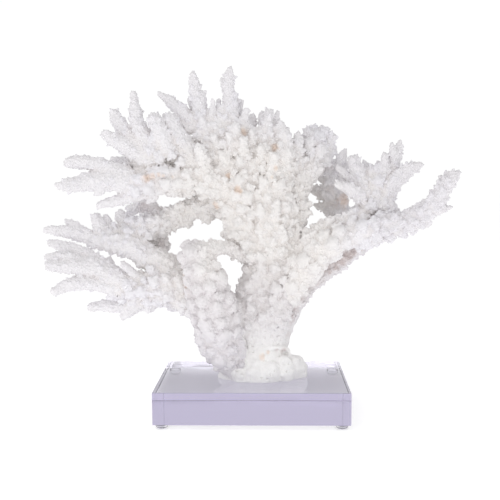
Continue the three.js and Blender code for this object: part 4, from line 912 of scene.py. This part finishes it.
# a patch of one piece that is cut off from the rest of it goes to its neighbour, so no hole is left
for gi, name in enumerate(NODES):
    pts, quad = mesh_piece(gi, name)
    ids, inv, counts = np.unique(bodies(len(pts), quad), return_inverse=True, return_counts=True)
    loose = inv.reshape(-1) != counts.argmax()
    if not loose.any():
        continue
    at_ = np.round((pts[loose] - LO) / H).astype(int)
    patch = np.zeros(L1.shape, bool)
    for dx in range(-2, 3):
        for dy in range(-2, 3):
            for dz in range(-2, 3):
                v = np.clip(at_ + np.array([dx, dy, dz]), 0, np.array(L1.shape) - 1)
                patch[v[:, 0], v[:, 1], v[:, 2]] = True
    patch &= (L1 == gi) & (L2 >= 0) & (L2 != gi)
    heir = L2[patch]
    L1[patch] = heir
    L2[patch] = gi
    D2[patch] = D1[patch] + np.float32(0.7)
    print("handed over", name, int(loose.sum()), "points", int(patch.sum()), "voxels")

pieces = {}
total = 0
for gi, name in enumerate(NODES):
    pts, quad = mesh_piece(gi, name)
    # keep only the largest connected body
    n = len(pts)
    lab = np.arange(n)
    e0 = quad[:, [0, 1, 2, 3]].reshape(-1)
    e1 = quad[:, [1, 2, 3, 0]].reshape(-1)
    for _ in range(400):
        m = np.minimum(lab[e0], lab[e1])
        new = lab.copy()
        np.minimum.at(new, e0, m)
        np.minimum.at(new, e1, m)
        new = new[new]
        new = new[new]
        if (new == lab).all():
            break
        lab = new
    ids, counts = np.unique(lab, return_counts=True)
    for i_, c_ in zip(ids, counts):
        if 400 < c_ < counts.max():
            print("  lost crumb", name, c_, pts[lab == i_].mean(0).round(0), pts[lab == i_].max(0) - pts[lab == i_].min(0))
    main = ids[counts.argmax()]
    good = lab == main
    remap = np.full(n, -1)
    remap[good] = np.arange(good.sum())
    quad = quad[good[quad[:, 0]]]
    quad = remap[quad]
    pts = pts[good]
    total += 2 * len(quad)
    print(name, len(pts), "verts", 2 * len(quad), "tris", "crumbs", len(ids) - 1)
    pieces[name] = (pts, quad)
print("total tris", total, "%.1fs" % (time.time() - T0))


def make_mesh(name, pts, quad):
    me = bpy.data.meshes.new(name)
    nv, nf = len(pts), len(quad)
    me.vertices.add(nv)
    me.vertices.foreach_set("co", (pts / 1000.0).astype(np.float32).ravel())
    me.loops.add(nf * 4)
    me.loops.foreach_set("vertex_index", quad.astype(np.int32).ravel())
    me.polygons.add(nf)
    me.polygons.foreach_set("loop_start", np.arange(0, nf * 4, 4, dtype=np.int32))
    me.polygons.foreach_set("loop_total", np.full(nf, 4, np.int32))
    me.update(calc_edges=True)
    me.validate()
    me.polygons.foreach_set("use_smooth", np.ones(len(me.polygons), bool))
    ob = bpy.data.objects.new(name, me)
    bpy.context.collection.objects.link(ob)
    return ob


def attribute(me, name, values):
    at = me.attributes.new(name, "FLOAT", "POINT")
    at.data.foreach_set("value", np.asarray(values, np.float32))


def nodes_of(mat):
    mat.use_nodes = True
    nt = mat.node_tree
    nt.nodes.clear()
    return nt


def coral_shader():
    mat = bpy.data.materials.new("bleached_coral")
    nt = nodes_of(mat)
    N_, Lk = nt.nodes, nt.links
    out = N_.new("ShaderNodeOutputMaterial")
    bs = N_.new("ShaderNodeBsdfPrincipled")
    Lk.new(bs.outputs[0], out.inputs[0])
    geo = N_.new("ShaderNodeTexCoord")

    def attr(name):
        a = N_.new("ShaderNodeAttribute")
        a.attribute_type = "GEOMETRY"
        a.attribute_name = name
        return a.outputs["Fac"]

    def ramp(x, lo, hi, a=0.0, b=1.0):
        m = N_.new("ShaderNodeMapRange")
        m.interpolation_type = "SMOOTHSTEP"
        m.inputs["From Min"].default_value = lo
        m.inputs["From Max"].default_value = hi
        m.inputs["To Min"].default_value = a
        m.inputs["To Max"].default_value = b
        Lk.new(x, m.inputs["Value"])
        return m.outputs[0]

    def mix(fac, a, b):
        m = N_.new("ShaderNodeMix")
        m.data_type = "RGBA"
        if isinstance(fac, float):
            m.inputs[0].default_value = fac
        else:
            Lk.new(fac, m.inputs[0])
        for v, s in ((a, 6), (b, 7)):
            if isinstance(v, tuple):
                m.inputs[s].default_value = (*v, 1)
            else:
                Lk.new(v, m.inputs[s])
        return m.outputs[2]

    def math_(op, a, b):
        m = N_.new("ShaderNodeMath")
        m.operation = op
        for v, s in ((a, 0), (b, 1)):
            if isinstance(v, (int, float)):
                m.inputs[s].default_value = v
            else:
                Lk.new(v, m.inputs[s])
        return m.outputs[0]

    def noise(scale, detail=2.0, rough=0.5):
        n = N_.new("ShaderNodeTexNoise")
        n.inputs["Scale"].default_value = scale
        n.inputs["Detail"].default_value = detail
        n.inputs["Roughness"].default_value = rough
        Lk.new(geo.outputs["Object"], n.inputs["Vector"])
        return n.outputs["Fac"]

    wide, near, raised = attr("wide"), attr("near"), attr("raised")
    inner_tone_and_bounce = ramp(wide, 0.30, 0.72)                 # far in among the branches: the cream there is partly the coral's warmer tone, partly painted warm bounce light
    crevice_painted_shade = ramp(near, 0.42, 0.66)               # small hollows: painted shade, darker and browner there
    white = (0.843, 0.829, 0.865)
    cream = (0.866, 0.842, 0.828)
    inner_tone_and_bounce = math_("MAXIMUM", inner_tone_and_bounce, ramp(attr("warm"), 0.1, 0.9))
    tone = mix(inner_tone_and_bounce, white, cream)
    low = math_("SUBTRACT", 1.0, ramp(raised, -0.1, 3.0))
    grown = ramp(attr("growth"), 0.2, 0.9)
    tone = mix(math_("MULTIPLY", math_("MULTIPLY", low, grown), 0.26), tone, (0.90, 0.87, 0.84))
    # painted shade in the small hollows
    tone = mix(math_("MULTIPLY", crevice_painted_shade, 0.22), tone, (0.87, 0.815, 0.775))
    patch = ramp(noise(70.0, 2.0), 0.35, 0.70)
    tone = mix(math_("MULTIPLY", math_("MULTIPLY", patch, grown), 0.12), tone, (0.82, 0.80, 0.825))
    tone = mix(math_("MULTIPLY", math_("SUBTRACT", 1.0, grown), 0.85), tone, (0.965, 0.955, 0.945))
    # painted shade: a darker grey over the pieces and the lower trunk that lie in shade
    tone = mix(math_("MULTIPLY", attr("painted_shade"), 0.55), tone, (0.73, 0.70, 0.725))
    # painted shade in the corallite cups: small darker dots at about corallite spacing
    cups = N_.new("ShaderNodeTexVoronoi")
    cups.inputs["Scale"].default_value = 620.0
    Lk.new(geo.outputs["Object"], cups.inputs["Vector"])
    painted_pit_shade = ramp(cups.outputs["Distance"], 0.10, 0.55, 1.0, 0.0)
    tone = mix(math_("MULTIPLY", painted_pit_shade, 0.22), tone, (0.79, 0.765, 0.78))
    # brown grime mixed with painted shade in recesses and under the right arm, rust-coloured stains, both broken up by
    # noise
    grime_and_painted_shade, rust = attr("grime_and_painted_shade"), attr("rust")
    rough_edge = noise(260.0, 4.0, 0.65)
    grime_and_shade_mask = ramp(math_("ADD", grime_and_painted_shade, math_("MULTIPLY", math_("SUBTRACT", rough_edge, 0.5), 0.8)), 0.15, 1.05)
    tone = mix(math_("MULTIPLY", grime_and_shade_mask, 0.80), tone, (0.62, 0.54, 0.525))
    # painted shadow: the darkest brown-grey, under the right arm where the kind 3 marks lie
    painted_shadow = ramp(math_("ADD", grime_and_painted_shade, math_("MULTIPLY", math_("SUBTRACT", rough_edge, 0.5), 0.8)), 0.95, 1.6)
    tone = mix(math_("MULTIPLY", painted_shadow, 0.75), tone, (0.36, 0.30, 0.30))
    r_ = ramp(math_("ADD", rust, math_("MULTIPLY", math_("SUBTRACT", rough_edge, 0.5), 1.1)), 0.20, 0.95)
    tone = mix(math_("MULTIPLY", r_, 0.47), tone, (0.80, 0.59, 0.44))
    Lk.new(tone, bs.inputs["Base Color"])
    Lk.new(ramp(noise(240.0, 2.0), 0.3, 0.7, 0.72, 0.92), bs.inputs["Roughness"])
    bs.inputs["IOR"].default_value = 1.45
    bs.inputs["Specular IOR Level"].default_value = 0.25
    bs.inputs["Subsurface Weight"].default_value = 0.2
    bs.inputs["Subsurface Radius"].default_value = (1.0, 1.0, 1.0)
    bs.inputs["Subsurface Scale"].default_value = 0.0009
    b1 = N_.new("ShaderNodeBump")
    b1.inputs["Strength"].default_value = 0.3
    b1.inputs["Filter Width"].default_value = 1.0
    b1.inputs["Distance"].default_value = 0.00035
    Lk.new(noise(1500.0, 2.0, 0.6), b1.inputs["Height"])
    vor = N_.new("ShaderNodeTexVoronoi")
    vor.inputs["Scale"].default_value = 800.0
    Lk.new(geo.outputs["Object"], vor.inputs["Vector"])
    b2 = N_.new("ShaderNodeBump")
    b2.inputs["Strength"].default_value = 0.45
    b2.inputs["Filter Width"].default_value = 1.0
    b2.inputs["Distance"].default_value = 0.0006
    Lk.new(vor.outputs["Distance"], b2.inputs["Height"])
    Lk.new(b1.outputs[0], b2.inputs["Normal"])
    Lk.new(b2.outputs[0], bs.inputs["Normal"])
    return mat


coral_material = coral_shader()


def acrylic_shader(name, tint, density, rough, grain):
    mat = bpy.data.materials.new(name)
    nt = nodes_of(mat)
    N_, Lk = nt.nodes, nt.links
    out = N_.new("ShaderNodeOutputMaterial")
    bs = N_.new("ShaderNodeBsdfPrincipled")
    Lk.new(bs.outputs[0], out.inputs[0])
    bs.inputs["Transmission Weight"].default_value = 1.0
    bs.inputs["IOR"].default_value = 1.49
    bs.inputs["Base Color"].default_value = (1, 1, 1, 1)
    ab = N_.new("ShaderNodeVolumeAbsorption")
    ab.inputs["Color"].default_value = (*tint, 1)
    ab.inputs["Density"].default_value = density
    Lk.new(ab.outputs[0], out.inputs["Volume"])
    tc = N_.new("ShaderNodeTexCoord")
    n = N_.new("ShaderNodeTexNoise")
    n.inputs["Scale"].default_value = 55.0
    n.inputs["Detail"].default_value = 3.0
    Lk.new(tc.outputs["Object"], n.inputs["Vector"])
    m = N_.new("ShaderNodeMapRange")
    m.inputs["From Min"].default_value = 0.55
    m.inputs["From Max"].default_value = 0.75
    m.inputs["To Min"].default_value = rough
    m.inputs["To Max"].default_value = rough + grain
    Lk.new(n.outputs["Fac"], m.inputs["Value"])
    Lk.new(m.outputs[0], bs.inputs["Roughness"])
    n2 = N_.new("ShaderNodeTexNoise")
    n2.inputs["Scale"].default_value = 14.0
    Lk.new(tc.outputs["Object"], n2.inputs["Vector"])
    b = N_.new("ShaderNodeBump")
    b.inputs["Strength"].default_value = 0.08
    b.inputs["Distance"].default_value = 0.0006
    Lk.new(n2.outputs["Fac"], b.inputs["Height"])
    Lk.new(b.outputs[0], bs.inputs["Normal"])
    return mat


MOST_PIECE, MOST_ALL = 190000, 930000
share_all = min(1.0, MOST_ALL / total)
grand = 0
for name in NODES:
    pts, quad = pieces[name]
    ob = make_mesh("visual_" + name[6:], pts, quad)
    share = min(share_all, MOST_PIECE / (2.0 * len(quad)))
    if share < 0.999:
        thin = ob.modifiers.new("thin", "DECIMATE")
        thin.ratio = share
        thin.use_collapse_triangulate = True
        done = bpy.data.meshes.new_from_object(ob.evaluated_get(bpy.context.evaluated_depsgraph_get()))
        ob.modifiers.remove(thin)
        old = ob.data
        ob.data = done
        bpy.data.meshes.remove(old)
        done.name = ob.name
        done.polygons.foreach_set("use_smooth", np.ones(len(done.polygons), bool))
    ob.data.calc_loop_triangles()
    grand += len(ob.data.loop_triangles)
    print(name, len(ob.data.loop_triangles), "tris after thinning")
    co = np.empty(len(ob.data.vertices) * 3, np.float32)
    ob.data.vertices.foreach_get("co", co)
    co = co.reshape(-1, 3).astype(np.float64) * 1000
    wide = sample_small(occ_wide, co)
    near = sample_small(occ_near, co)
    attribute(ob.data, "wide", wide)
    attribute(ob.data, "near", near)
    raised = sample(F, co)
    grad = np.empty_like(co)
    for k in range(3):
        e = np.zeros(3)
        e[k] = H * 0.6
        grad[:, k] = sample(body, co + e) - sample(body, co - e)
    grad /= np.linalg.norm(grad, axis=1)[:, None] + 1e-9
    geo = np.empty(len(co) * 3, np.float32)
    ob.data.vertex_normals.foreach_get("vector", geo)
    geo = geo.reshape(-1, 3)
    agree = np.clip(((geo * grad).sum(1) - 0.55) / 0.3, 0, 1)[:, None] * 0.7
    smooth_n = geo * (1 - agree) + grad * agree
    smooth_n /= np.linalg.norm(smooth_n, axis=1)[:, None] + 1e-9
    ob.data.normals_split_custom_set_from_vertices(smooth_n.astype(np.float32))
    attribute(ob.data, "raised", raised)
    rust = np.zeros(len(co), np.float32)
    grime_and_painted_shade = np.zeros(len(co), np.float32)
    for x, y, z, r, kind in STAINS:
        d2 = ((co[:, 0] - x) ** 2 + (0.4 * (co[:, 1] - y)) ** 2 + (co[:, 2] - z) ** 2) / (r * 1.25) ** 2
        t = np.exp(-d2).astype(np.float32)
        # kinds 1 to 3 carry brown grime and painted shade; kind 3, the strongest, is painted shadow
        if kind:
            np.maximum(grime_and_painted_shade, t * np.float32((0.6, 1.0, 1.7)[kind - 1]), out=grime_and_painted_shade)
        else:
            np.maximum(rust, t, out=rust)
    attribute(ob.data, "rust", rust)
    # painted shade per piece; on the centre fan it darkens the lower trunk between about 48 and 135 mm, on the front
    # column it eases off at the upper end towards the bridge
    painted_shade = np.full(len(co), PAINTED_SHADE.get(name, 0.0), np.float32)
    if name == "coral_centre_fan":
        painted_shade += (0.8 * np.clip((135 - co[:, 2]) / 35, 0, 1) * np.clip((co[:, 2] - 48) / 20, 0, 1)).astype(np.float32)
    if name == "coral_front_column":
        painted_shade *= (1 - 0.8 * np.clip((co[:, 0] + 38) / 12, 0, 1) * np.clip((co[:, 2] - 108) / 15, 0, 1)).astype(np.float32)
    attribute(ob.data, "painted_shade", painted_shade)
    far = np.hypot(co[:, 0] - 5.0, co[:, 2] - 150.0)
    attribute(ob.data, "warm", np.clip((105 - far) / 55, 0, 1).astype(np.float32))
    on_foot = 0.0 if name == "coral_foot" else 1.0
    attribute(ob.data, "growth", np.full(len(co), on_foot, np.float32) * fade_of(name, co[:, 2]).astype(np.float32))
    attribute(ob.data, "grime_and_painted_shade", grime_and_painted_shade)
    ob.data.materials.append(coral_material)
    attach(ob, "root")
    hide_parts(name)
print("meshes", grand, "%.1fs" % (time.time() - T0))

SKY_LOW, SKY_HIGH, KEY_W, TOP_W, FLOOR_GLOW = 0.27, 0.57, 1.6, 0.8, 0.53
# ---------------------------------------------------------------- the stand
acrylic = acrylic_shader("clear_acrylic", (0.42, 0.36, 0.60), 11.0, 0.0, 0.004)
bumper_mat = acrylic_shader("clear_bumper", (0.55, 0.53, 0.62), 40.0, 0.12, 0.1)


def polished_block():
    bm = bmesh.new()
    bmesh.ops.create_cube(bm, size=1.0)
    for v in bm.verts:
        v.co = Vector((v.co.x * BLOCK[0], v.co.y * BLOCK[1], v.co.z * BLOCK[2])) / 1000
    bmesh.ops.bevel(bm, geom=list(bm.edges), offset=0.00022, segments=2, profile=0.5, affect="EDGES")
    me = bpy.data.meshes.new("polished_block")
    bm.to_mesh(me)
    bm.free()
    ob = bpy.data.objects.new("polished_block", me)
    bpy.context.collection.objects.link(ob)
    for v in me.vertices:
        v.co += Vector((BLOCK_X, BLOCK_Y, BUMPER_H + BLOCK[2] / 2)) / 1000
    me.materials.append(acrylic)
    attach(ob, "root")
    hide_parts("acrylic_block")
    return ob


def dome(name, x, y):
    prof = [(0, 0), (3.2, 0.0), (3.9, 0.15), (4.5, 0.7), (4.85, 1.5), (4.9, 2.4), (4.9, 3.9), (0, 3.9)]
    seg = 48
    bm = bmesh.new()
    rings = []
    for r, z in prof:
        if r == 0:
            rings.append([bm.verts.new((x / 1000, y / 1000, z / 1000))])
        else:
            rings.append([bm.verts.new(((x + r * math.cos(2 * math.pi * k / seg)) / 1000, (y + r * math.sin(2 * math.pi * k / seg)) / 1000, z / 1000)) for k in range(seg)])
    for a, b in zip(rings[:-1], rings[1:]):
        for k in range(seg):
            k2 = (k + 1) % seg
            if len(a) == 1:
                bm.faces.new((a[0], b[k2], b[k]))
            elif len(b) == 1:
                bm.faces.new((a[k], a[k2], b[0]))
            else:
                bm.faces.new((a[k], a[k2], b[k2], b[k]))
    bmesh.ops.recalc_face_normals(bm, faces=bm.faces)
    me = bpy.data.meshes.new(name)
    bm.to_mesh(me)
    bm.free()
    for p_ in me.polygons:
        p_.use_smooth = p_.normal.z > -0.95 and p_.normal.z < 0.95
    ob = bpy.data.objects.new(name, me)
    bpy.context.collection.objects.link(ob)
    me.materials.append(bumper_mat)
    return ob


polished_block()
for name, sx, sy in (("bumper_front_left", -1, -1), ("bumper_front_right", 1, -1), ("bumper_back_left", -1, 1), ("bumper_back_right", 1, 1)):
    ob = dome("dome_" + name[7:], BLOCK_X + sx * 69.6, BLOCK_Y + sy * 44.2)
    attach(ob, "root")
    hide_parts(name)

# ---------------------------------------------------------------- floor, light, camera
floor_me = bpy.data.meshes.new("pale_floor")
S_ = 6.0
floor_me.from_pydata([(-S_, -S_, 0), (S_, -S_, 0), (S_, S_, 0), (-S_, S_, 0)], [], [(0, 1, 2, 3)])
floor = bpy.data.objects.new("pale_floor", floor_me)
bpy.context.collection.objects.link(floor)
fm = bpy.data.materials.new("pale_floor")
nt = nodes_of(fm)
o_ = nt.nodes.new("ShaderNodeOutputMaterial")
b_ = nt.nodes.new("ShaderNodeBsdfPrincipled")
b_.inputs["Base Color"].default_value = (0.86, 0.86, 0.865, 1)
b_.inputs["Roughness"].default_value = 0.9
b_.inputs["Specular IOR Level"].default_value = 0.0
b_.inputs["Emission Color"].default_value = (1, 1, 1, 1)
b_.inputs["Emission Strength"].default_value = FLOOR_GLOW
nt.links.new(b_.outputs[0], o_.inputs[0])
floor_me.materials.append(fm)

world = bpy.data.worlds.new("studio")
bpy.context.scene.world = world
world.use_nodes = True
wn = world.node_tree
wn.nodes.clear()
wo = wn.nodes.new("ShaderNodeOutputWorld")
bg = wn.nodes.new("ShaderNodeBackground")
bg.inputs[0].default_value = (1, 1, 1, 1)
wn.links.new(bg.outputs[0], wo.inputs[0])
wt = wn.nodes.new("ShaderNodeTexCoord")
# a white band all round at eye level, and a softbox glow that falls off away from the upper left front
dot = wn.nodes.new("ShaderNodeVectorMath")
dot.operation = "DOT_PRODUCT"
dot.inputs[1].default_value = Vector((-0.50, -0.55, 0.67)).normalized()
wn.links.new(wt.outputs["Generated"], dot.inputs[0])
glow = wn.nodes.new("ShaderNodeMapRange")
glow.interpolation_type = "SMOOTHSTEP"
glow.inputs["From Min"].default_value = -0.35
glow.inputs["From Max"].default_value = 0.85
glow.inputs["To Min"].default_value = SKY_LOW
glow.inputs["To Max"].default_value = SKY_HIGH
wn.links.new(dot.outputs["Value"], glow.inputs["Value"])
sep = wn.nodes.new("ShaderNodeSeparateXYZ")
wn.links.new(wt.outputs["Generated"], sep.inputs[0])
absz = wn.nodes.new("ShaderNodeMath")
absz.operation = "ABSOLUTE"
wn.links.new(sep.outputs["Z"], absz.inputs[0])
band = wn.nodes.new("ShaderNodeMapRange")
band.interpolation_type = "SMOOTHSTEP"
band.inputs["From Min"].default_value = 0.225
band.inputs["From Max"].default_value = 0.262
band.inputs["To Min"].default_value = 1.0
band.inputs["To Max"].default_value = 0.0
wn.links.new(absz.outputs[0], band.inputs["Value"])
# above a narrow gap, a long softbox, which the block shows through its back face
edges = []
for lo_, hi_, a_, b_ in ((0.270, 0.290, 0.0, 1.0), (0.36, 0.52, 1.0, 0.0)):
    e_ = wn.nodes.new("ShaderNodeMapRange")
    e_.interpolation_type = "SMOOTHSTEP"
    for k_, v_ in (("From Min", lo_), ("From Max", hi_), ("To Min", a_), ("To Max", b_)):
        e_.inputs[k_].default_value = v_
    wn.links.new(absz.outputs[0], e_.inputs["Value"])
    edges.append(e_)
both = wn.nodes.new("ShaderNodeMath")
both.operation = "MULTIPLY"
wn.links.new(edges[0].outputs[0], both.inputs[0])
wn.links.new(edges[1].outputs[0], both.inputs[1])
either = wn.nodes.new("ShaderNodeMath")
either.operation = "MAXIMUM"
wn.links.new(band.outputs[0], either.inputs[0])
wn.links.new(both.outputs[0], either.inputs[1])
wm = wn.nodes.new("ShaderNodeMix")
wn.links.new(either.outputs[0], wm.inputs[0])
wn.links.new(glow.outputs[0], wm.inputs[2])
wm.inputs[3].default_value = 1.02
wn.links.new(wm.outputs[0], bg.inputs[1])


def area(name, loc, target, size, power, colour):
    li_ = bpy.data.lights.new(name, "AREA")
    li_.shape = "RECTANGLE"
    li_.size, li_.size_y = size
    li_.energy = power
    li_.color = colour
    ob = bpy.data.objects.new(name, li_)
    ob.location = loc
    d = Vector(target) - Vector(loc)
    ob.rotation_euler = d.to_track_quat("-Z", "Y").to_euler()
    bpy.context.collection.objects.link(ob)
    return ob


area("key", (-0.55, -0.75, 1.15), (0, 0, 0.16), (0.45, 0.45), KEY_W, (1.0, 0.985, 0.97))
fill = area("fill", (0.03, -0.50, 0.10), (0.0, 0.0, 0.045), (0.30, 0.12), 0.048, (1, 1, 1))
fill.data.spread = math.radians(70)
area("top", (-0.1, -0.1, 1.3), (0, 0, 0.1), (0.8, 0.6), TOP_W, (1, 1, 1))

cam_data = bpy.data.cameras.new("view")
cam = bpy.data.objects.new("view", cam_data)
bpy.context.collection.objects.link(cam)
cam_data.sensor_width = 36.0
cam_data.sensor_fit = "HORIZONTAL"
cam_data.lens = LENS_PX / 500.0 * 36.0
cam_data.clip_start = 0.01
cam_data.clip_end = 50
cy_, sy_ = math.cos(math.radians(CAM_YAW)), math.sin(math.radians(CAM_YAW))
cp_, sp_ = math.cos(math.radians(CAM_PITCH)), math.sin(math.radians(CAM_PITCH))
fwd = Vector((sy_ * cp_, cy_ * cp_, -sp_))
right = Vector((cy_, -sy_, 0))
up = right.cross(fwd)
cr_, sr_ = math.cos(math.radians(CAM_ROLL)), math.sin(math.radians(CAM_ROLL))
r2 = right * cr_ + up * sr_
u2 = up * cr_ - right * sr_
cam.matrix_world = Matrix(((r2.x, u2.x, -fwd.x, CAM[0] / 1000), (r2.y, u2.y, -fwd.y, CAM[1] / 1000), (r2.z, u2.z, -fwd.z, CAM[2] / 1000), (0, 0, 0, 1)))
bpy.context.scene.camera = cam
bpy.context.scene.view_settings.view_transform = "Standard"
bpy.context.scene.view_settings.look = "None"

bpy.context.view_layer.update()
print("script %.1fs" % (time.time() - T0))
